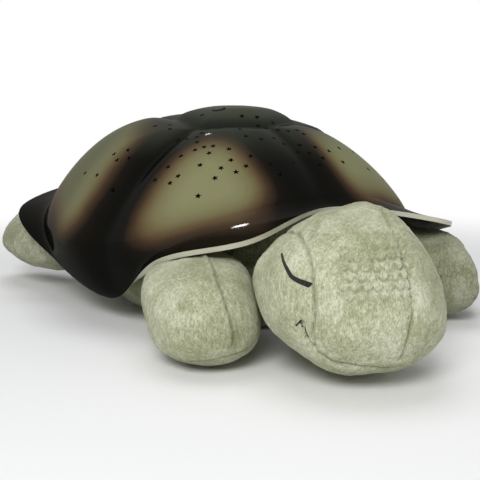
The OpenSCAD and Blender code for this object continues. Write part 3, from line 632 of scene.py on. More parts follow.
def moulded(name, colour, roughness=0.4, grain=300.0, depth=0.05, spread=0.06,
            metallic=0.0, coat=0.0, clear=0.0):
    """Moulded plastic, rubber or metal: cloudy colour, fine grain, uneven gloss."""
    material, tree, shader, add = empty_material(name)
    place = add("TexCoord")
    cloud = add("TexNoise", Scale=grain / 6, Detail=4.0, Vector=place)
    fine = add("TexNoise", Scale=grain * 4, Detail=3.0, Vector=place)
    stops = ((0.35, [c * (1 - spread) for c in colour]),
             (0.65, [min(1, c * (1 + spread)) for c in colour]))
    gloss = add("MapRange", Value=fine, To_Min=max(0.03, roughness - GLOSS_SPREAD),
                To_Max=min(1, roughness + GLOSS_SPREAD))
    fill_in(shader, Base_Color=colour_ramp(tree, cloud, stops), Roughness=gloss,
            Normal=add("Bump", Strength=depth * 2, Distance=0.0004, Height=fine),
            Metallic=metallic, Coat_Weight=coat, Transmission_Weight=clear)
    return material


def shell_paint():
    """The airbrushed coat: fine speckle, faint clouds, painted sheen and orange peel."""
    material, tree, shader, add = empty_material("shell_airbrush")
    place = add("TexCoord")
    speckle = add("TexNoise", Scale=900.0, Detail=3.0, Vector=place)
    cloud = add("TexNoise", Scale=45.0, Detail=4.0, Vector=place)
    peel = add("TexNoise", Scale=220.0, Detail=2.0, Vector=place)
    bare = add("Attribute", attribute_name="paint")
    bare = add("Math", speckle, SPECKLE, bare, operation="MULTIPLY_ADD")
    bare = add("Math", cloud, CLOUDING, bare, operation="MULTIPLY_ADD")
    bare = add("Math", bare, (SPECKLE + CLOUDING) / 2, operation="SUBTRACT")
    # The painted sheen: the coat's colour is mixed towards a grey-green where the mesh says so
    colour = add("MixRGB", add("Attribute", attribute_name="painted_sheen"),
                 colour_ramp(tree, bare, COAT_STOPS), PAINTED_SHEEN_COLOUR, blend_type="MIX")
    fill_in(shader, Base_Color=colour,
            Normal=add("Bump", Strength=0.02, Distance=0.0005, Height=peel),
            Roughness=add("MapRange", To_Min=0.36, To_Max=0.50, Value=cloud),
            Specular_IOR_Level=0.0, Coat_Weight=0.12, Coat_Roughness=0.05, Coat_IOR=1.30)
    return material


print("coat: from", COAT_STOPS[0][1], "to", COAT_STOPS[-1][1])

# %% Give the shell its wall and cut it
shell_inside = moulded("shell_inside", (0.16, 0.155, 0.11), 0.5)
coats = (shell_paint(), shell_inside,
         moulded("shell_bare_edge", (0.50, 0.49, 0.38), 0.38, coat=0.3),
         # The star holes' walls are near black, painted shade for the dark inside the holes
         moulded("star_walls_painted_shade", (0.012, 0.012, 0.009), 0.6))
shell = new_object("shell_moulding", shell_bm)
for coat in coats:
    shell.data.materials.append(coat)
    cutter.data.materials.append(coat)
for face in cutter.data.polygons:
    face.material_index = 3
wall = shell.modifiers.new("wall", "SOLIDIFY")
wall.thickness = WALL * MM
wall.offset = -1
wall.use_even_offset = True
wall.material_offset = 1
wall.material_offset_rim = 2
cut = shell.modifiers.new("cut", "BOOLEAN")
cut.operation = "DIFFERENCE"
cut.solver = "EXACT"
cut.object = cutter


def apply_modifiers(obj):
    """Keeps what the modifiers give as the object's own mesh."""
    graph = bpy.context.evaluated_depsgraph_get()
    mesh = bpy.data.meshes.new_from_object(obj.evaluated_get(graph))
    old = obj.data
    obj.modifiers.clear()
    obj.data = mesh
    bpy.data.meshes.remove(old)
    mesh.name = obj.name


apply_modifiers(shell)
bpy.data.objects.remove(cutter)
print("shell:", len(shell.data.polygons), "faces after cutting")

# %% [markdown]
# ## Airbrushed paint
# The painter sprayed the valleys between the scutes and the whole flange dark, and the
# spray fades over brown into the bare olive plastic. The paint's thickness is written
# on the mesh as an attribute, from 0 where it is black to 1 where the plastic is bare,
# so the pattern follows the scutes from every side. Colours come from one ramp.

# %% Write the paint on the shell
# Waves in the spray's edge, their height and width
SPRAY_WAVE, SPRAY_WIDTH = 3.0, 30.0
# From where to where the plastic comes out of the dark, away from a valley, from the
# groove and from the middle line, which lies a little to the right
FROM_VALLEY, FROM_GROOVE, FROM_MIDDLE = (2, 74), (-13, 16), (3, 38)
MIDDLE_X, MIDDLE_ENDS = -14, -8
# Where the tail's part, the part low over the groove and the left part begin and end
TAILWARD, LOW_DOWN, LEFTWARD = (0, 50), (12, 46), (0, 20)
# How much sooner it comes out near the tail, low there, and on the left
TAIL_SOONER, LOW_SOONER, LEFT_SOONER = 22, 16, 14
# Near the tail it comes out later over the groove and earlier low down, and is duller
TAIL_GROOVE, TAIL_START, TAIL_DULL = 26, 5, 0.10
# The crown's patch: middle, half width, how bare, and how dark outside its two fades
CROWN_PATCH, CROWN_HALF, CROWN_BARE, CROWN_DARK = Vector((0, 13)), 42, 0.9, 0.9
CROWN_VALLEY, CROWN_ROUND = (4, 40), (2, 44)
# The painted sheen on top, a painted reflection, is thin in the valleys and cloudy;
# its colour also lies over the tail's bare scutes and darkens them
SHEEN_RISE, VALLEY_SHEEN, OFF_VALLEY = (86.0, 120.0), 0.35, (0, 14)
SHEEN_CLOUD, SHEEN_WIDTH = 0.3, 22.0
TAIL_TINT, TAIL_RISE = 0.6, (-5, 35)


def bareness(p):
    """How bare the plastic is at a point in mm."""
    x, y = p.x, p.y - CROWN_Y
    angle = math.atan2(y, x)
    q = math.hypot(x, y) / dome_radius(angle)
    blur = SPRAY_WAVE * noise.noise(p / SPRAY_WIDTH)
    depth = scute_depth(p.x, p.y) + blur
    above = p.z - groove_height(angle)
    tailward = fade(p.y, *TAILWARD)
    low = 1 - fade(above, *LOW_DOWN)
    start, full = FROM_GROOVE
    from_groove = fade(above + blur, start, full + TAIL_GROOVE * tailward) if q > 0.5 else 1.0
    if abs(p.x) < CROWN_HALF and scute_index(p.x, p.y) == CROWN_SCUTE:
        crown = (Vector((p.x, p.y)) - CROWN_PATCH).length
        return (CROWN_BARE * fade(depth, *CROWN_VALLEY) * from_groove
                * (1 - CROWN_DARK * fade(crown + blur, *CROWN_ROUND)))
    start, full = FROM_VALLEY
    from_valley = fade(depth, start - TAIL_START * tailward * low,
                       full - tailward * (TAIL_SOONER + LOW_SOONER * low)
                       - LEFT_SOONER * fade(p.x, *LEFTWARD))
    if p.y < MIDDLE_ENDS:
        from_valley *= fade(abs(p.x - MIDDLE_X) + blur, *FROM_MIDDLE)
    return from_valley * (1 - TAIL_DULL * tailward) * from_groove


def painted_sheen_share(p, bare):
    """How much painted sheen lies over the coat: a painted reflection on top, and the same
    colour over the bare scutes at the tail, where it darkens them.
    """
    on_top = (fade(p.z, *SHEEN_RISE)
              * (VALLEY_SHEEN + (1 - VALLEY_SHEEN) * fade(scute_depth(p.x, p.y), *OFF_VALLEY))
              * (1.0 + SHEEN_CLOUD * noise.noise(p / SHEEN_WIDTH)))
    return max(on_top, TAIL_TINT * fade(p.y, *TAIL_RISE) * bare)


# Each vertex gets how bare its paint is and how much painted sheen lies over it
paint = shell.data.attributes.new("paint", "FLOAT", "POINT")
painted_sheen = shell.data.attributes.new("painted_sheen", "FLOAT", "POINT")
for i, v in enumerate(shell.data.vertices):
    p = v.co / MM
    bare = bareness(p)
    paint.data[i].value = bare
    painted_sheen.data[i].value = painted_sheen_share(p, bare)
rounded(shell.data, 40)
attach(shell, "turtle")
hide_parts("shell")
print("paint: mean bareness", round(sum(d.value for d in paint.data) / len(paint.data), 2))

# %% [markdown]
# ## Bosses and the seat of the button panel
# Inside the real moulding four bosses with webs take the lamp tray's screws, and a
# raised seat runs round the opening for the buttons. Each is a short cone or ring
# whose upper end is lifted until it meets the dome's inner skin.

# %% Bosses under the dome
TRAY_TOP, BOSS_GAP = 43.4, 0.1
BOSS_BASE = TRAY_TOP + BOSS_GAP
BOSS_SPOTS = [(-52, -34), (52, -34), (-54, 40), (54, 40)]
BOSS_RADIUS, BOSS_DRAFT, BOSS_STUB = 4.5, 1.2, 1.0
PILOT_RADIUS, PILOT_DEPTH = 1.4, 11
WEB_REACH, WEB_HALF, WEB_RISE = 1.3, 0.9, (17, 27)


def under_dome(x, y):
    """Height inside the shell's wall above a plan point."""
    return on_skin(x, y)[0].z - WALL * 0.6


def add_boss(bm, x, y):
    """A tapering post up to the dome, with a blind hole from below."""
    made = bmesh.ops.create_cone(bm, cap_ends=True, segments=32, radius1=BOSS_RADIUS,
                                 radius2=BOSS_RADIUS + BOSS_DRAFT, depth=BOSS_STUB)["verts"]
    bmesh.ops.translate(bm, vec=(x, y, BOSS_BASE + BOSS_STUB / 2), verts=made)
    for v in made:
        if v.co.z > BOSS_BASE + BOSS_STUB / 2:
            v.co.z = under_dome(v.co.x, v.co.y)
    bottom = [f for f in bm.faces
              if all(v in made and v.co.z < BOSS_BASE + 0.01 for v in f.verts)]
    bmesh.ops.inset_region(bm, faces=bottom, thickness=BOSS_RADIUS - PILOT_RADIUS)
    hole = bmesh.ops.extrude_face_region(bm, geom=bottom)["geom"]
    bmesh.ops.delete(bm, geom=bottom, context="FACES_ONLY")
    bmesh.ops.translate(bm, vec=(0, 0, PILOT_DEPTH), verts=new_verts(hole))


def add_web(bm, x, y):
    """A thin wall from the boss to the dome's side."""
    along = Vector((x, y)).normalized()
    across = Vector((-along.y, along.x)) * WEB_HALF
    for v in bmesh.ops.create_cube(bm, size=1)["verts"]:
        outer = v.co.x > 0
        spot = Vector((x, y)) * (WEB_REACH if outer else 1) + across * (1 if v.co.y > 0 else -1)
        low = BOSS_BASE + WEB_RISE[1 if outer else 0]
        v.co = (spot.x, spot.y, under_dome(spot.x, spot.y) if v.co.z > 0 else low)


boss_bm = bmesh.new()
for x, y in BOSS_SPOTS:
    add_boss(boss_bm, x, y)
    add_web(boss_bm, x, y)
bosses = new_object("shell_bosses", boss_bm, shell_inside)
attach(bosses, "turtle")
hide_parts("shell")
print("bosses:", len(bosses.data.polygons), "faces")

# %% Seat round the button panel
SEAT_DEPTH, SEAT_BITE = 6.0, 0.9
seat_bm = bmesh.new()
ring_edges = []
for grow in (PANEL_MARGIN, PANEL_SLACK):
    ring = [seat_bm.verts.new((x, y, -SEAT_DEPTH)) for x, y in capsule(grow)]
    ring_edges += [seat_bm.edges.new(pair) for pair in zip(ring, ring[1:] + ring[:1])]
bmesh.ops.bridge_loops(seat_bm, edges=ring_edges)
raised = bmesh.ops.extrude_face_region(seat_bm, geom=list(seat_bm.faces))["geom"]
seat_top = new_verts(raised)
bmesh.ops.transform(seat_bm, matrix=panel_place, verts=seat_bm.verts)
axis = (panel_place.to_3x3() @ Vector((0, 0, 1))).normalized()
for v in seat_top:
    hit, _, _, far = skin_tree.ray_cast(v.co, axis)
    v.co += axis * (far - SEAT_BITE if hit else SEAT_DEPTH)
bmesh.ops.recalc_face_normals(seat_bm, faces=seat_bm.faces)
seat = new_object("button_panel_seat", seat_bm, shell_inside)
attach(seat, "turtle")
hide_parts("shell")
print("seat:", len(seat.data.polygons), "faces")

# %% [markdown]
# ## Stuffed forms
# The plush parts are bags of short pile, stuffed until they swell. An ellipsoid would
# look inflated, so each starts as a fine sphere whose vertices move onto the same
# squared form as in the CAD. Then it is pressed, as the real one is: flat on the
# floor, under the shell's flange, and against its neighbours.

# %% Squared forms and how they press on each other
PUSH_MOST, PUSH_STEPS = 8.0, 18


def signed_power(value, power):
    return math.copysign(abs(value) ** power, value)


class Stuffed:
    """A squared, tapering form at a place, with sizes in mm."""

    def __init__(self, size, swell, taper, place, rise=1.0, side=0.0):
        self.half = Vector(size) / 2
        self.e = 2 / swell
        self.es = 2 / side if side else self.e
        self.taper, self.rise = taper, rise
        self.place, self.back = place, place.inverted()

    def point(self, direction):
        """The form's point for a direction on the unit sphere."""
        lat = math.asin(max(-1, min(1, direction.z)))
        lon = math.atan2(direction.y, direction.x)
        c = math.cos(lat) ** self.es
        y = c * signed_power(math.sin(lon), self.e)
        k = 1 - self.taper * (y + 1) / 2
        z = signed_power(math.sin(lat), self.es) * (1 - (1 - k) / 2)
        return self.place @ Vector((self.half.x * k * c * signed_power(math.cos(lon), self.e),
                                    self.half.y * y,
                                    self.half.z * z * (self.rise if z > 0 else 1)))

    def local(self, p):
        """A point on the form's own axes, as shares of its half sizes."""
        q = self.back @ p
        y = q.y / self.half.y
        k = 1 - self.taper * (max(-1, min(1, y)) + 1) / 2
        z = q.z / (self.half.z * (1 - (1 - k) / 2) * (self.rise if q.z > 0 else 1))
        return Vector((q.x / (self.half.x * k), y, z))

    def inside(self, p):
        """Below 1 inside the form, above 1 outside."""
        q = self.local(p)
        plan = (abs(q.x) ** (2 / self.e) + abs(q.y) ** (2 / self.e)) ** (self.e / self.es)
        return plan + abs(q.z) ** (2 / self.es)

    def push_out(self, p, gap):
        """Moves a point in plan, away from the form's middle, until it is clear."""
        if self.inside(p) >= 1:
            return p
        middle = self.place.translation
        out = Vector((p.x - middle.x, p.y - middle.y, 0))
        low, high = 1.0, PUSH_MOST
        for _ in range(PUSH_STEPS):
            share = (low + high) / 2
            if self.inside(p + out * (share - 1)) < 1:
                low = share
            else:
                high = share
        return p + out * (high - 1) + out.normalized() * gap


def place_at(x, y, z, turn=0.0, mirrored=False):
    place = Matrix.Translation((x, y, z)) @ Matrix.Rotation(math.radians(turn), 4, "Z")
    return Matrix.Scale(-1, 4, (1, 0, 0)) @ place if mirrored else place


SOLE_CUT = 0.5
HEAD_TURN, HEAD_REACH = 27.0, 76.0
HEAD_SIZE = (86.0, 96.0, 76.0)
turn = math.radians(HEAD_TURN)
head_middle = (-HEAD_REACH * math.sin(turn), -70 - HEAD_REACH * math.cos(turn),
               HEAD_SIZE[2] / 2 - SOLE_CUT)
body_form = Stuffed((160, 184, 55), 2.6, 0.04, place_at(0, 8, 27), rise=1.7, side=4)
head_form = Stuffed(HEAD_SIZE, 2.15, 0.12, place_at(*head_middle, -HEAD_TURN))
FRONT_FLIPPER, REAR_FLIPPER = (56, 92, 50), (54, 88, 37)
flipper_forms = {}
for side, mirrored in (("left", False), ("right", True)):
    for end, size, spot in (
            ("front_", FRONT_FLIPPER, (72, -79, FRONT_FLIPPER[2] / 2 - SOLE_CUT, 30)),
            ("rear_", REAR_FLIPPER, (74, 118, 8 + REAR_FLIPPER[2] / 2, 158))):
        flipper_forms[end + side] = Stuffed(size, 2.3, 0.15, place_at(*spot, mirrored))
tail_form = Stuffed((26, 40, 18), 2, 0.6, place_at(0, 112, 16))
print("stuffed forms:", 3 + len(flipper_forms))

# %% What lies above the plush
shell_tree = tree_of(shell)
RIM_SAMPLES = 360
rim_tree = KDTree(RIM_SAMPLES)
rim_samples = [rim_point(i / RIM_SAMPLES) for i in range(RIM_SAMPLES)]
for i, p in enumerate(rim_samples):
    rim_tree.insert((p.x, p.y, 0), i)
rim_tree.balance()
SHELL_GAP, EDGE_CLIMB, EDGE_REACH = 0.6, 2.2, 26.0


def ceiling(x, y):
    """How high plush can rise at a plan point: under the shell, or beside its rim."""
    hit, _, _, _ = shell_tree.ray_cast(Vector((x, y, -50)), Vector((0, 0, 1)))
    if hit:
        return hit.z - SHELL_GAP
    _, i, away = rim_tree.find((x, y, 0))
    if away > EDGE_REACH:
        return math.inf
    return rim_samples[i].z - WALL - SHELL_GAP + EDGE_CLIMB * max(0.0, away - 1.5)


def press(bm, neighbours, gap=0.5):
    """Presses a form on the floor, under the shell and against its neighbours."""
    for v in bm.verts:
        p = v.co.copy()
        for form in neighbours:
            p = form.push_out(p, gap)
        p.z = max(p.z, 0.0)
        p.z = min(p.z, ceiling(p.x, p.y))
        v.co = p


# %% [markdown]
# ## Sewn seams, pile and folds
# A seam pulls the cloth in along a line, and the stuffing swells beside it. The lines
# are found where the photograph shows them, by lines of sight onto the form, and
# every vertex near such a line moves in along its normal. Slow noise gives the
# stuffing's lumps, and fast noise the clumps of the pile. Seams and pressed details
# also get painted shade, a value on the mesh that darkens the plush there.

# %% Seam lines and relief
SEAM_DEPTH, SEAM_HALF, SEAM_SHADE = 1.5, 0.8, 0.55
FLOOR_CALM = 6.0
SWELL_HEIGHT, SWELL_AT, SWELL_HALF = 0.4, 5.0, 3.4
PUCKER_HEIGHT, PUCKER_HALF, PUCKER_REACH, PUCKER_WIDTH = 0.35, 4.5, 9, 2.6
# How dark the painted shade in a seam is and how unevenly, and how dark a pressed detail's
# painted shade gets
SEAM_SHADE_MOST, SEAM_SHADE_UNEVEN, SEAM_SHADE_WIDTH = 0.85, 0.5, 1.7
PRESSED_SHADE, PRESSED_MOST = 0.3, 0.4
# Height and width of the stuffing's large and small lumps, and the pile's widths
LUMP_HEIGHT, LUMP_WIDTH, SMALL_HEIGHT, SMALL_WIDTH = 0.9, 17, 0.35, 6.5
PILE_WIDTH, COARSE_WIDTH, COARSE_SHARE = 1.1, 2.3, 0.8
# The far cheek's stitches lie further round the head than a mirror would put them
FAR_CHEEK_SWING = 34.0


def picture_line(tree, spots, mirrored=None):
    """Points on a form under a line of picture points, smoothed and close together."""
    found = [hit for hit, _ in (seen_on(tree, *spot) for spot in spots) if hit]
    if mirrored is not None:
        swing = Matrix.Rotation(math.radians(FAR_CHEEK_SWING), 4, "Z")
        flip = mirrored @ swing @ Matrix.Scale(-1, 4, (1, 0, 0)) @ mirrored.inverted()
        found = [flip @ p for p in found]
    return smooth_line(found)


def smooth_line(points, step=0.4):
    line = []
    for i in range(len(points) - 1):
        a, b = points[max(i - 1, 0)], points[i]
        c, d = points[i + 1], points[min(i + 2, len(points) - 1)]
        count = max(2, int((c - b).length / step))
        line += [catmull(a, b, c, d, k / count) for k in range(count)]
    return line + [points[-1]]


class Lines:
    """Distance from a point to the nearest of several lines."""

    def __init__(self, lines):
        points = [p for line in lines for p in line]
        self.tree = KDTree(len(points))
        for i, p in enumerate(points):
            self.tree.insert(p, i)
        self.tree.balance()

    def away(self, p):
        return self.tree.find(p)[2]


def relief(bm, seams, extra=None, lumps=1.0, pile=0.16, seed=0.0, seam_shading=0.8, drawn=None):
    """Moves every vertex along its normal by seams, lumps and pile.

    Seam shading says how dark a seam's painted shade is; the drawn lines get it too but are not
    pulled in.
    """
    bm.normal_update()
    seam_painted_shade = bm.verts.layers.float.new("seam_painted_shade")
    moved = []
    for v in bm.verts:
        p, n = v.co, v.normal
        d = seams.away(p)
        # Painted shade along the seams and the drawn lines, uneven along them
        dark = bell(min(d, drawn.away(p)) if drawn else d, SEAM_SHADE)
        v[seam_painted_shade] = seam_shading * dark * (SEAM_SHADE_MOST + SEAM_SHADE_UNEVEN * noise.noise(p / SEAM_SHADE_WIDTH))
        h = -SEAM_DEPTH * bell(d, SEAM_HALF) + SWELL_HEIGHT * bell(d - SWELL_AT, SWELL_HALF)
        if d < PUCKER_REACH:
            h += (PUCKER_HEIGHT * bell(d, PUCKER_HALF)
                  * noise.noise(p / PUCKER_WIDTH + Vector((seed, 9, 0))))
        h += lumps * LUMP_HEIGHT * noise.noise(p / LUMP_WIDTH + Vector((seed, 0, 0)))
        h += lumps * SMALL_HEIGHT * noise.noise(p / SMALL_WIDTH + Vector((0, seed, 0)))
        h += (pile * noise.noise(p / PILE_WIDTH)
              + pile * COARSE_SHARE * noise.noise(p / COARSE_WIDTH))
        if extra:
            detail = extra(p)
            h += detail
            # A pressed detail gets painted shade too
            v[seam_painted_shade] = max(v[seam_painted_shade], min(PRESSED_MOST, -PRESSED_SHADE * detail))
        h *= fade(p.z, 0.0, FLOOR_CALM)
        moved.append(p + n * h)
    for v, p in zip(bm.verts, moved):
        v.co = p
        v.co.z = max(0.0, min(p.z, ceiling(p.x, p.y)))


def sphere_for(form, detail, refine=None):
    bm = bmesh.new()
    bmesh.ops.create_icosphere(bm, subdivisions=detail, radius=1)
    for v in bm.verts:
        v.co = form.point(v.co.normalized())
    if refine:
        edges = [e for e in bm.edges if refine((e.verts[0].co + e.verts[1].co) / 2)]
        bmesh.ops.subdivide_edges(bm, edges=edges, cuts=1, use_grid_fill=True)
        bmesh.ops.triangulate(bm, faces=[f for f in bm.faces if len(f.verts) > 3])
    bmesh.ops.recalc_face_normals(bm, faces=bm.faces)
    return bm


# Bins of five degrees round a form's middle in the picture; the photographed outline is
# walked in short steps, and counts less for the bins that it doesn't reach
BINS, OUTLINE_STEPS, BIN_REACH = 72, 30, 7


def bin_place(d):
    """Where a direction in the picture falls among the bins."""
    return (math.degrees(math.atan2(d.y, d.x)) % 360) / 360 * BINS


def outline_share(bm, middle, spots):
    """A form's own outline by direction, and how much wider the photographed one is."""
    own = [0.0] * BINS
    for v in bm.verts:
        d = in_picture(v.co)[0] - middle
        i = int(bin_place(d)) % BINS
        own[i] = max(own[i], d.length)
    seen = [[] for _ in range(BINS)]
    for a, b in zip(spots, spots[1:]):
        for k in range(OUTLINE_STEPS):
            d = Vector(a).lerp(Vector(b), k / OUTLINE_STEPS) - middle
            seen[int(bin_place(d)) % BINS].append(d.length)
    share = [sum(s) / len(s) / o if s else None for s, o in zip(seen, own)]
    known = [i for i in range(BINS) if share[i] is not None]
    full = []
    for i in range(BINS):
        gap, near = min((min((k - i) % BINS, (i - k) % BINS), n) for n, k in enumerate(known))
        full.append(1 + (share[known[near]] - 1) * (1 - fade(gap, 0, BIN_REACH)))
    return own, [sum(full[(i + k) % BINS] for k in (-1, 0, 1)) / 3 for i in range(BINS)]


def match_outline(bm, form, spots, closed=False):
    """Draws a form's edge to the photographed outline; its middle stays."""
    middle = in_picture(form.place.translation)[0]
    own, share = outline_share(bm, middle, list(spots) + ([spots[0]] if closed else []))
    for v in bm.verts:
        d = in_picture(v.co)[0] - middle
        i, t = divmod(bin_place(d) - 0.5, 1)
        here, after = int(i) % BINS, (int(i) + 1) % BINS
        k = share[here] * (1 - t) + share[after] * t
        edge = own[here] * (1 - t) + own[after] * t
        d *= (k - 1) * min(1.0, d.length / edge) ** 2
        v.co = slide(v.co, d.x, d.y)


# %% [markdown]
# ## Plush
# The cloth is a short, dense pile in sage and cream. Brushed one way it is light and
# the other way dark, which gives soft blotches a centimetre or two across, and the
# pile's tips give a fine grain. Copies of the pile are made lighter or darker: the
# head's is lighter, painted light; the rear and left flippers' and the tail's is darker,
# as the photograph shows, painted shade; the body's and its flap's is darker still,
# painted shade under the shell. Sheen lightens the edges as real pile does.

# %% Plush material
PLUSH = ((0.29, 0.305, 0.17), (0.445, 0.460, 0.30), (0.65, 0.66, 0.50))
# A darker copy for the body and its flap: painted shade under the shell
BELLY_PLUSH_PAINTED_SHADE = ((0.16, 0.17, 0.09), (0.25, 0.26, 0.15), (0.36, 0.37, 0.24))
# The head's copy is lighter, painted light; the copy for the rear and left flippers and the tail
# is darker, painted shade; the last value is how dark the painted shade in a seam gets
HEAD_PAINTED_LIGHT, PAINTED_SHADE_COPY, SEAM_PAINTED_DARK = 1.06, 0.72, 0.32
# Places of the dark, middle and light colour, and how much clumps and tips count
PLUSH_STOPS, CLUMP_SHARE, TIP_SHARE = (0.41, 0.50, 0.59), 0.74, 0.72
PILE_STRETCH = (1.0, 1.0, 0.45)


def plush(name, colours, shade=1.0):
    """Short pile: brushed blotches, clumps, tips, and painted shade along seams from the mesh.
    """
    material, tree, shader, add = empty_material(name)
    # A shade above 1 gives a lighter copy, painted light, and below 1 a darker copy, painted
    # shade
    colours = [[c * shade for c in colour] for colour in colours]
    place = add("TexCoord")
    brushed = add("TexNoise", Scale=55.0, Detail=5.0, Roughness=0.6, Distortion=0.4,
                  Vector=place)
    stretched = add("Mapping", Scale=PILE_STRETCH, Vector=place)
    clumps = add("TexNoise", Scale=650.0, Detail=3.0, Roughness=0.65, Vector=stretched)
    tips = add("TexNoise", Scale=1900.0, Detail=2.0, Vector=stretched)
    grain = add("Math", clumps, CLUMP_SHARE, brushed, operation="MULTIPLY_ADD")
    grain = add("Math", tips, TIP_SHARE, grain, operation="MULTIPLY_ADD")
    grain = add("Math", grain, 1 + CLUMP_SHARE + TIP_SHARE, operation="DIVIDE")
    pile = colour_ramp(tree, grain, list(zip(PLUSH_STOPS, colours)))
    # Colour of the painted shade in seams and pressed details
    seam_painted_shade = (*[c * SEAM_PAINTED_DARK for c in colours[0]], 1)
    height = add("Math", clumps, tips, operation="ADD")
    fill_in(shader, Roughness=0.95, Specular_IOR_Level=0.1,
            Base_Color=add("MixRGB", add("Attribute", attribute_name="seam_painted_shade"), pile, seam_painted_shade,
                           blend_type="MIX"),
            Normal=add("Bump", Strength=1.0, Distance=0.0009, Height=height),
            Sheen_Weight=0.25, Sheen_Roughness=0.5, Sheen_Tint=(0.95, 0.95, 0.8, 1))
    return material


# One pile and its copies: painted light for the head, painted shade for the flippers, tail and
# body
plush_pile = plush("plush_pile", PLUSH)
plush_painted_light = plush("plush_painted_light", PLUSH, HEAD_PAINTED_LIGHT)
plush_painted_shade = plush("plush_painted_shade", PLUSH, PAINTED_SHADE_COPY)
plush_belly = plush("plush_belly", BELLY_PLUSH_PAINTED_SHADE)


def finish_plush(name, bm, node, material, body="turtle"):
    """Makes the stuffed piece, which takes the place of its node."""
    piece = new_object(name, bm, material)
    rounded(piece.data)
    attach(piece, body)
    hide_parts(node)
    print(name + ":", len(piece.data.polygons), "faces")
    return piece


# %% [markdown]
# ## Head
# The head is one stuffed form of three long panels: a middle one that runs from the
# nape over the nose, embossed with rows of small scales, and a cheek on either side.
# A chin panel closes it below, and its seam is the closed mouth.

# %% Head
LEFT_SEAM = [(297, 231), (302, 240), (307, 250), (311, 266), (313, 284), (314, 302),
             (314, 318), (312, 334), (315, 348)]
RIGHT_SEAM = [(384, 212), (390, 224), (398, 240), (404, 258), (410, 276), (413, 294),
              (413, 312), (411, 328), (407, 342), (400, 360)]
CHIN_SEAM = [(302, 322), (306, 336), (315, 349), (333, 361), (347, 364.5), (364, 366.5),
             (381, 367), (402, 365), (417, 361)]
HEAD_OUTLINE = [(359, 201), (320, 212), (294, 227), (271, 246), (257, 260), (251, 272),
                (252, 284), (260, 310), (271, 330), (294, 351), (316, 365), (335, 373),
                (350, 375), (378, 373), (401, 369), (424, 358), (442, 341), (447, 330),
                (447, 318), (445, 298), (439, 272), (424, 247), (408, 226), (393, 212),
                (378, 204)]
SCALES_FROM, SCALES_TO = (338, 242), (408, 304)
SCALE_PITCH, SCALE_ROW, SCALE_RADIUS, SCALE_HEIGHT = 4.5, 3.7, 2.1, 1.15
# From how far before to how far past each edge of their field the scales fade: at the
# low and the high edge across, and at the low and the high edge upwards
FADE_ACROSS, FADE_UP = ((1, 4), (3, 1)), ((2, 4), (3, 3))
# How far a scale strays across and up, where its arc opens and how softly, how wide,
# strong and uneven the pressed line is, and how much the scale's middle swells
SCALE_STRAY, SCALE_OPENS, SCALE_SOFT = (0.5, 0.4), 0.6, 1.2
SCALE_LINE, SCALE_PRESS, SCALE_UNEVEN, SCALE_SWELL = 0.5, 0.75, 0.4, 0.10
SHOULDER_FOLD = [(319, 211), (318, 220), (315, 230), (310, 238)]
FOLD_DEPTH, FOLD_HALF = 0.9, 1.6
FOLD_SWELL, FOLD_SWELL_AT, FOLD_SWELL_HALF = 0.5, 4, 2.5
# The face gets finer faces up to here, and the nape is smoothed from here on
FACE_END, NAPE_FROM = 0.15, 0.1
# The side seams run on over the head, unseen, to this share of its half length
NAPE, NAPE_STEPS = 0.95, 13


def in_front(p):
    return head_form.local(p).y < FACE_END


head_bm = sphere_for(head_form, 7, in_front)
match_outline(head_bm, head_form, HEAD_OUTLINE, closed=True)
head_tree = BVHTree.FromBMesh(head_bm)
head_lines = [picture_line(head_tree, s) for s in (LEFT_SEAM, RIGHT_SEAM, CHIN_SEAM)]
for line in head_lines[:2]:
    first = head_form.local(line[0])
    over = []
    for k in range(1, NAPE_STEPS + 1):
        y = first.y + (NAPE - first.y) * k / NAPE_STEPS
        start = head_form.place @ Vector((first.x * head_form.half.x, y * head_form.half.y, 90))
        hit, _, _, _ = head_tree.ray_cast(start, Vector((0, 0, -1)))
        if hit:
            over.append(hit)
    line[:0] = smooth_line(over[::-1] + [line[0]])
head_seams = Lines(head_lines)
fold = Lines([picture_line(head_tree, SHOULDER_FOLD)])
scale_low = head_form.back @ seen_on(head_tree, SCALES_FROM[0], SCALES_TO[1])[0]
scale_high = head_form.back @ seen_on(head_tree, SCALES_TO[0], SCALES_FROM[1])[0]


def edge_fade(value, edge, reach):
    """The fade at an edge, from before it to past it."""
    return fade(value, edge - reach[0], edge + reach[1])


def embossed_scales(p):
    """Rows of pressed scallops on the middle panel."""
    across, back, up = head_form.back @ p
    if back > 0:
        return 0.0
    mask = (edge_fade(across, scale_low.x, FADE_ACROSS[0])
            * (1 - edge_fade(across, scale_high.x, FADE_ACROSS[1]))
            * edge_fade(up, scale_low.z, FADE_UP[0])
            * (1 - edge_fade(up, scale_high.z, FADE_UP[1])))
    if mask <= 0:
        return 0.0
    best = 0.0
    row = round(up / SCALE_ROW)
    for r in (row - 1, row, row + 1):
        shift = 0.5 * (r % 2)
        col = round(across / SCALE_PITCH - shift)
        for c in (col - 1, col, col + 1):
            wobble = noise.noise(Vector((r * 3.1, c * 2.7, 0)))
            dx = across - (c + shift) * SCALE_PITCH - SCALE_STRAY[0] * wobble
            dz = up - r * SCALE_ROW - SCALE_STRAY[1] * wobble
            d = math.hypot(dx, dz)
            if dz < SCALE_OPENS:
                line = bell(d - SCALE_RADIUS, SCALE_LINE) * fade(SCALE_OPENS - dz, 0, SCALE_SOFT)
                best = min(best, -line * (SCALE_PRESS + SCALE_UNEVEN * wobble))
            if d < SCALE_RADIUS:
                best += SCALE_SWELL * (1 - d / SCALE_RADIUS)
    return SCALE_HEIGHT * mask * best


def head_details(p):
    """The scales, and the fold at the shoulder with its swelling beside it."""
    d = fold.away(p)
    return (embossed_scales(p) - FOLD_DEPTH * bell(d, FOLD_HALF)
            + FOLD_SWELL * bell(d - FOLD_SWELL_AT, FOLD_SWELL_HALF))


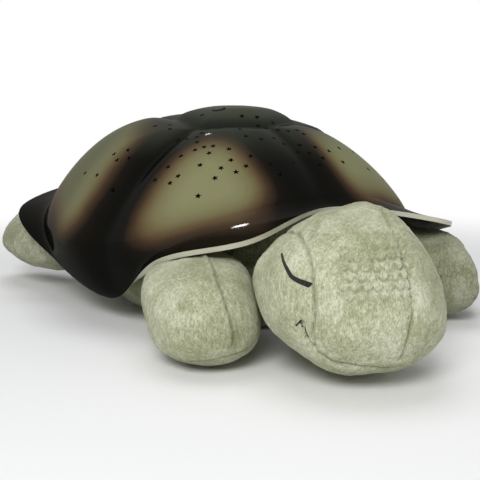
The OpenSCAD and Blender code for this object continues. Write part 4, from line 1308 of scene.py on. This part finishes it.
press(head_bm, [body_form], gap=0.6)
nape = [v for v in head_bm.verts if head_form.local(v.co).y > NAPE_FROM]
bmesh.ops.smooth_vert(head_bm, verts=nape, factor=0.5, use_axis_x=True, use_axis_y=True,
                      use_axis_z=True)
relief(head_bm, head_seams, head_details, lumps=0.8, seed=3.0, seam_shading=0.45)
head = finish_plush("plush_head_stuffed", head_bm, "plush_head", plush_painted_light)
skin_of_head = tree_of(head)

# %% [markdown]
# ## Flippers and tail
# Each flipper is two pieces of cloth, sewn together along its middle, from the floor
# over the tip to the shell. The front ones carry weight and lie flat; the rear ones
# float a little above the floor.

# %% Flippers and tail
FLIPPER_SEAM_STEPS = 60
FRONT_SEAM = [(196, 243), (203, 255), (210, 265), (215, 280), (220, 293), (224, 305),
              (228, 318), (231, 332), (230, 344)]
SOLE_SEAM = [(180, 359.5), (189, 360.5), (197, 360), (214, 358), (232, 354.5), (247, 348)]
FLIPPER_OUTLINES = {
    "front_right": [(243, 263), (250, 277), (255, 293), (261, 313), (262, 327), (260, 340),
                    (250, 353), (230, 363), (207, 367), (180, 362), (160, 350), (148, 333),
                    (143, 313), (141, 297), (143, 280)],
    "front_left": [(413, 227), (443, 230), (460, 240), (473, 267), (479, 293), (467, 310),
                   (447, 315)],
    "rear_right": [(22, 206), (9, 224), (3, 234), (1, 241), (5, 249), (18, 259), (31, 266),
                   (45, 268), (62, 271)]}


def middle_seam(form, low=-35, high=100):
    """A seam over the top of a form, in the plane of its length."""
    turns = [math.radians(low + (high - low) * k / FLIPPER_SEAM_STEPS)
             for k in range(FLIPPER_SEAM_STEPS + 1)]
    return smooth_line([form.point(Vector((0, -math.cos(a), math.sin(a)))) for a in turns])


def flipper_form(name, detail):
    bm = sphere_for(flipper_forms[name], detail)
    if name in FLIPPER_OUTLINES:
        match_outline(bm, flipper_forms[name], FLIPPER_OUTLINES[name])
    return bm


def laid_on(bm, line):
    """A line drawn to the nearest points of a form."""
    tree = BVHTree.FromBMesh(bm)
    return [tree.find_nearest(p)[0] for p in line]


right_tree = BVHTree.FromBMesh(flipper_form("front_right", 6))
front_lines = [picture_line(right_tree, s) for s in (FRONT_SEAM, SOLE_SEAM)]
mirror_x = Matrix.Scale(-1, 4, (1, 0, 0))

for name, form in flipper_forms.items():
    bm = flipper_form(name, 7)
    lines = front_lines
    if name == "front_left":
        lines = [laid_on(bm, [mirror_x @ p for p in line]) for line in front_lines]
    elif name != "front_right":
        lines = [laid_on(bm, middle_seam(form))]
    press(bm, [body_form, head_form] if name.startswith("front") else [body_form])
    # The second line is the sole's, which gets painted shade but is not pulled in
    relief(bm, Lines(lines[:1]), lumps=0.9, seed=len(name) + (0.5 if "left" in name else 0),
           drawn=Lines(lines[1:]) if lines[1:] else None)
    # The front right flipper keeps the plain pile; the others take the darker copy, painted
    # shade
    finish_plush(name + "_flipper_stuffed", bm, name + "_flipper",
                 plush_pile if name == "front_right" else plush_painted_shade)

tail_bm = sphere_for(tail_form, 5)
press(tail_bm, [body_form])
relief(tail_bm, Lines([middle_seam(tail_form, 80, 170)]), lumps=0.5)
finish_plush("tail_stuffed", tail_bm, "tail", plush_painted_shade)

# %% [markdown]
# ## Body
# The body is a flat cushion that fills the shell's underside. Its upper edge is
# clamped round the lamp tray, so there is a well in the middle for the battery box,
# and a shallow recess below for the flap that covers it. Two Booleans cut these, and
# the seam round the flank is pressed in as on the head.

# %% Body
TRAY_HALF, TRAY_ROUND, CLAMP_ROOM = (72.0, 66.0), 1.04, 4.0
TRAY_Y, PLUSH_TOP = 4.0, 39.4
FLANK_LOW, FLANK_STEPS = -0.16, 120
BELLY_LIFT, LIFT_FROM = 13.0, 0.72
BOX_SIZE = (40.2, 57.5)
EAR_WIDTH, DOOR_SCREW_Y = 10.0, 33.15
FLAP_WIDTH, FLAP_LENGTH, FLAP_HINGE_Y, FLAP_THICK = 56.0, 96.0, 46.0, 3.0
RECESS_TOP, BELOW, ABOVE, ROOM = 5.1, -2, 90, 0.6


def under_tray(x, y):
    y -= TRAY_Y
    return (abs(x) < TRAY_HALF[0] + CLAMP_ROOM and abs(y) < TRAY_HALF[1] + CLAMP_ROOM
            and math.hypot(x, y) < TRAY_HALF[0] * TRAY_ROUND + CLAMP_ROOM)


def sink_well(bm):
    for v in bm.verts:
        if under_tray(v.co.x, v.co.y):
            v.co.z = min(v.co.z, PLUSH_TOP)


body_bm = sphere_for(body_form, 7)
for v in body_bm.verts:
    q = body_form.local(v.co)
    rim_share = (abs(q.x) ** 3 + abs(q.y) ** 3) ** (1 / 3)
    if q.z < 0:
        v.co.z += BELLY_LIFT * fade(rim_share, LIFT_FROM, 1.0)
turns = [2 * math.pi * k / FLANK_STEPS for k in range(FLANK_STEPS + 1)]
flank = [body_form.point(Vector((math.cos(a), math.sin(a), FLANK_LOW)).normalized())
         for a in turns]
press(body_bm, [])
sink_well(body_bm)
relief(body_bm, Lines([smooth_line(flank)]), lumps=0.7, seed=1.0)
sink_well(body_bm)
for v in body_bm.verts:
    v.co.z = min(v.co.z, ceiling(v.co.x, v.co.y))
body = finish_plush("plush_body_stuffed", body_bm, "plush_body", plush_belly)

# Each hollow: half width, its two ends along y, its top, and how round its edges are
HOLLOWS = {"well": (BOX_SIZE[0] / 2 + ROOM, -BOX_SIZE[1] / 2 - ROOM, BOX_SIZE[1] / 2 + ROOM,
                    ABOVE, 0.5),
           "ear_well": (EAR_WIDTH / 2 + 1, 0, DOOR_SCREW_Y + EAR_WIDTH / 2 + 1, ABOVE, 0.5),
           "recess": (FLAP_WIDTH / 2 + ROOM, FLAP_HINGE_Y - FLAP_LENGTH - ROOM,
                      FLAP_HINGE_Y + ROOM, RECESS_TOP, 0.8)}


def round_edges(bm, edges, offset, segments):
    bmesh.ops.bevel(bm, geom=edges, offset=offset, segments=segments, profile=0.5,
                    affect="EDGES", material=-1)


cutters = []
for name, (half, front, rear, top, offset) in HOLLOWS.items():
    bm = bmesh.new()
    bmesh.ops.create_cube(bm, size=1)
    for v in bm.verts:
        v.co = [a + (b - a) * (c + 0.5)
                for a, b, c in zip((-half, front, BELOW), (half, rear, top), v.co)]
    round_edges(bm, bm.edges, offset, 3)
    cutters.append(new_object(name, bm))
    hollow = body.modifiers.new(name, "BOOLEAN")
    hollow.operation, hollow.solver, hollow.object = "DIFFERENCE", "EXACT", cutters[-1]
apply_modifiers(body)
for tool in cutters:
    bpy.data.objects.remove(tool)
rounded(body.data, 50)
print("body:", len(body.data.polygons), "faces after cutting")

# %% [markdown]
# ## Belly flap
# A flap of the same plush, folded double and stitched round its edge, hangs from the
# belly behind the battery door and closes with a fastener strip. It is a thin padded
# slab with a rounded edge, so a cube is cut finely, bevelled and quilted by its seam.

# %% Belly flap
FLAP_CORNER, FLAP_EDGE, FLAP_CUTS = (6, 6), (1.2, 4), (28, 48)
STITCH_IN, STITCH_DIP, STITCH_HALF = 3.2, 0.45, 0.9
QUILT_LUMP, QUILT_WIDTH = 0.12, 3.0
FLAP_MIDDLE = FLAP_HINGE_Y - FLAP_LENGTH / 2


def height_of(edge):
    return abs(edge.verts[0].co.z - edge.verts[1].co.z)


flap_bm = bmesh.new()
bmesh.ops.create_cube(flap_bm, size=1)
for v in flap_bm.verts:
    v.co = (v.co.x * FLAP_WIDTH, FLAP_MIDDLE + v.co.y * FLAP_LENGTH, (v.co.z + 0.5) * FLAP_THICK)
round_edges(flap_bm, [e for e in flap_bm.edges if height_of(e) > 1], *FLAP_CORNER)
round_edges(flap_bm, [e for e in flap_bm.edges if height_of(e) < 0.1], *FLAP_EDGE)
for normal, span, middle, count in ((Vector((1, 0, 0)), FLAP_WIDTH, 0.0, FLAP_CUTS[0]),
                                    (Vector((0, 1, 0)), FLAP_LENGTH, FLAP_MIDDLE, FLAP_CUTS[1])):
    for k in range(1, count):
        whole = flap_bm.verts[:] + flap_bm.edges[:] + flap_bm.faces[:]
        bmesh.ops.bisect_plane(flap_bm, geom=whole, plane_no=normal,
                               plane_co=normal * (middle - span / 2 + span * k / count))
for v in flap_bm.verts:
    x, y, z = v.co
    if 0.05 < z < FLAP_THICK - 0.05:
        continue
    edge = min(FLAP_WIDTH / 2 - abs(x), FLAP_LENGTH / 2 - abs(y - FLAP_MIDDLE))
    dip = (STITCH_DIP * bell(edge - STITCH_IN, STITCH_HALF)
           + QUILT_LUMP * noise.noise(v.co / QUILT_WIDTH))
    v.co.z = min(max(z + (dip if z < FLAP_THICK / 2 else -dip), 0.0), FLAP_THICK)
finish_plush("belly_flap_sewn", flap_bm, "belly_flap", plush_belly,
             "belly_flap_body")

# %% [markdown]
# ## Stitched eyes and mouth
# The closed eyes are satin stitch: short threads laid close together across a line
# that thickens to its outer corner. The mouth is the chin's seam, with a few dark
# threads at its corners. Each thread is a short curve with a round bevel, laid on the
# head's finished skin.

# %% Threads
EYE_LINE = [(282, 254), (283.5, 261), (287, 269), (291, 276), (297, 280), (304, 283),
            (311, 285.5)]
MOUTH_CORNER = [(296.5, 325), (301, 321.5), (303, 327), (307, 337)]
THREAD_RADIUS, THREAD_SLANT, THREAD_LIFT, THREAD_SINK = 0.22, 0.25, 0.12, -0.05


def flat_on_head(p):
    hit, normal, _, _ = skin_of_head.find_nearest(p)
    return hit, facing(normal, hit - head_form.place.translation)


def satin(lines, width, name, node, material):
    """Threads across each line, as wide as width says from its start to its end."""
    data = bpy.data.curves.new(name, "CURVE")
    data.dimensions = "3D"
    data.bevel_depth = THREAD_RADIUS * MM
    data.bevel_resolution = 1
    data.use_fill_caps = True
    for line in lines:
        last = len(line) - 1
        for i in range(last):
            at, normal = flat_on_head(line[i])
            along = (line[i + 1] - line[i]).normalized()
            across = normal.cross(along).normalized()
            slant = (across + along * THREAD_SLANT).normalized()
            half = 0.5 * (width[0] + (width[1] - width[0]) * (i / last))
            spline = data.splines.new("POLY")
            spline.points.add(2)
            for point, offset, rise in zip(spline.points, (-half, 0, half),
                                           (THREAD_SINK, THREAD_LIFT, THREAD_SINK)):
                spot = flat_on_head(at + slant * offset)[0] + normal * (rise - THREAD_SINK)
                point.co = (*(spot * MM), 1)
    curve = bpy.data.objects.new(name, data)
    scene.collection.objects.link(curve)
    graph = bpy.context.evaluated_depsgraph_get()
    mesh = bpy.data.meshes.new_from_object(curve.evaluated_get(graph))
    bpy.data.objects.remove(curve)
    piece = bpy.data.objects.new(name, mesh)
    scene.collection.objects.link(piece)
    mesh.materials.clear()
    mesh.materials.append(material)
    rounded(mesh)
    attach(piece, "turtle")
    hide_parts(node)
    print(name + ":", len(mesh.polygons), "faces")


thread = moulded("dark_thread", (0.012, 0.012, 0.010), 0.55, grain=900, depth=0.1)
for spots, width, name, node in (
        (EYE_LINE, (0.8, 2.4), "eyes_stitched", "eye_stitching"),
        (MOUTH_CORNER, (0.6, 1.0), "mouth_stitched", "mouth_stitching")):
    satin([picture_line(head_tree, spots), picture_line(head_tree, spots, head_form.place)],
          width, name, node, thread)

# %% [markdown]
# ## Finishes of the pieces that stay
# The buttons, the screws and everything inside have the right shape in the CAD
# already, so they keep it and get a material each: moulded plastic, board, steel,
# clear tinted lamps and wire, all of cloudy colour and fine grain at their own scale.

# %% Materials for the CAD nodes
finishes = {
    "button_frame": moulded("panel_plastic", (0.030, 0.028, 0.022), 0.35, coat=0.3),
    "button_power": moulded("button_white", (0.70, 0.68, 0.58), 0.35, coat=0.2),
    "button_amber": moulded("button_amber", (0.75, 0.30, 0.03), 0.35, coat=0.2),
    "button_green": moulded("button_green", (0.09, 0.36, 0.10), 0.35, coat=0.2),
    "button_blue": moulded("button_blue", (0.06, 0.16, 0.52), 0.35, coat=0.2),
    "button_board": moulded("circuit_board", (0.012, 0.10, 0.035), 0.4, coat=0.4),
    "tact_switches": moulded("black_plastic", (0.015, 0.015, 0.016), 0.45),
    "button_screws": moulded("steel", (0.62, 0.61, 0.59), 0.3, metallic=1.0),
    "lamp_tray": moulded("housing_plastic", (0.74, 0.73, 0.66), 0.45),
    "battery_door": moulded("door_plastic", (0.60, 0.59, 0.51), 0.45),
    "battery_cells": moulded("cell_jacket", (0.03, 0.035, 0.045), 0.3, coat=0.4),
    "battery_springs": moulded("spring_steel", (0.55, 0.55, 0.56), 0.22, metallic=1.0),
    "plush_clamp_ring": moulded("ring_plastic", (0.07, 0.07, 0.06), 0.5),
    "led_amber": moulded("lamp_amber", (0.95, 0.45, 0.06), 0.15, clear=0.7),
    "led_green": moulded("lamp_green", (0.15, 0.75, 0.20), 0.15, clear=0.7),
    "led_blue": moulded("lamp_blue", (0.12, 0.25, 0.95), 0.15, clear=0.7),
    "battery_lead": moulded("red_wire", (0.45, 0.02, 0.02), 0.4),
    "button_lead": moulded("white_wire", (0.70, 0.69, 0.62), 0.4),
    "loop_strip": moulded("loop_tape", (0.34, 0.34, 0.24), 0.95, grain=1500, depth=0.8,
                          spread=0.25),
    "hook_strip": moulded("hook_tape", (0.26, 0.26, 0.18), 0.8, grain=1500, depth=0.8,
                          spread=0.3)}
shared = {"main_board": "button_board", "timer_chip": "tact_switches", "lamp_tower": "lamp_tray",
          "door_screw": "button_screws", "tray_screws": "button_screws",
          "board_screws": "button_screws", "battery_contacts": "battery_springs"}
for node, like in shared.items():
    finishes[node] = finishes[like]
for node, material in finishes.items():
    nodes[node].data.materials.clear()
    nodes[node].data.materials.append(material)
print("finished nodes:", len(finishes))

# %% [markdown]
# ## Sizes
# Both boxes, the CAD's and the dressed model's, are printed in mm. The dressed
# model has to stay as big as the CAD.

# %% Print the sizes
dressed_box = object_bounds()
for name, box in (("cad", cad_box), ("visual", dressed_box)):
    print(name, [round(v / MM, 1) for corner in box for v in corner])
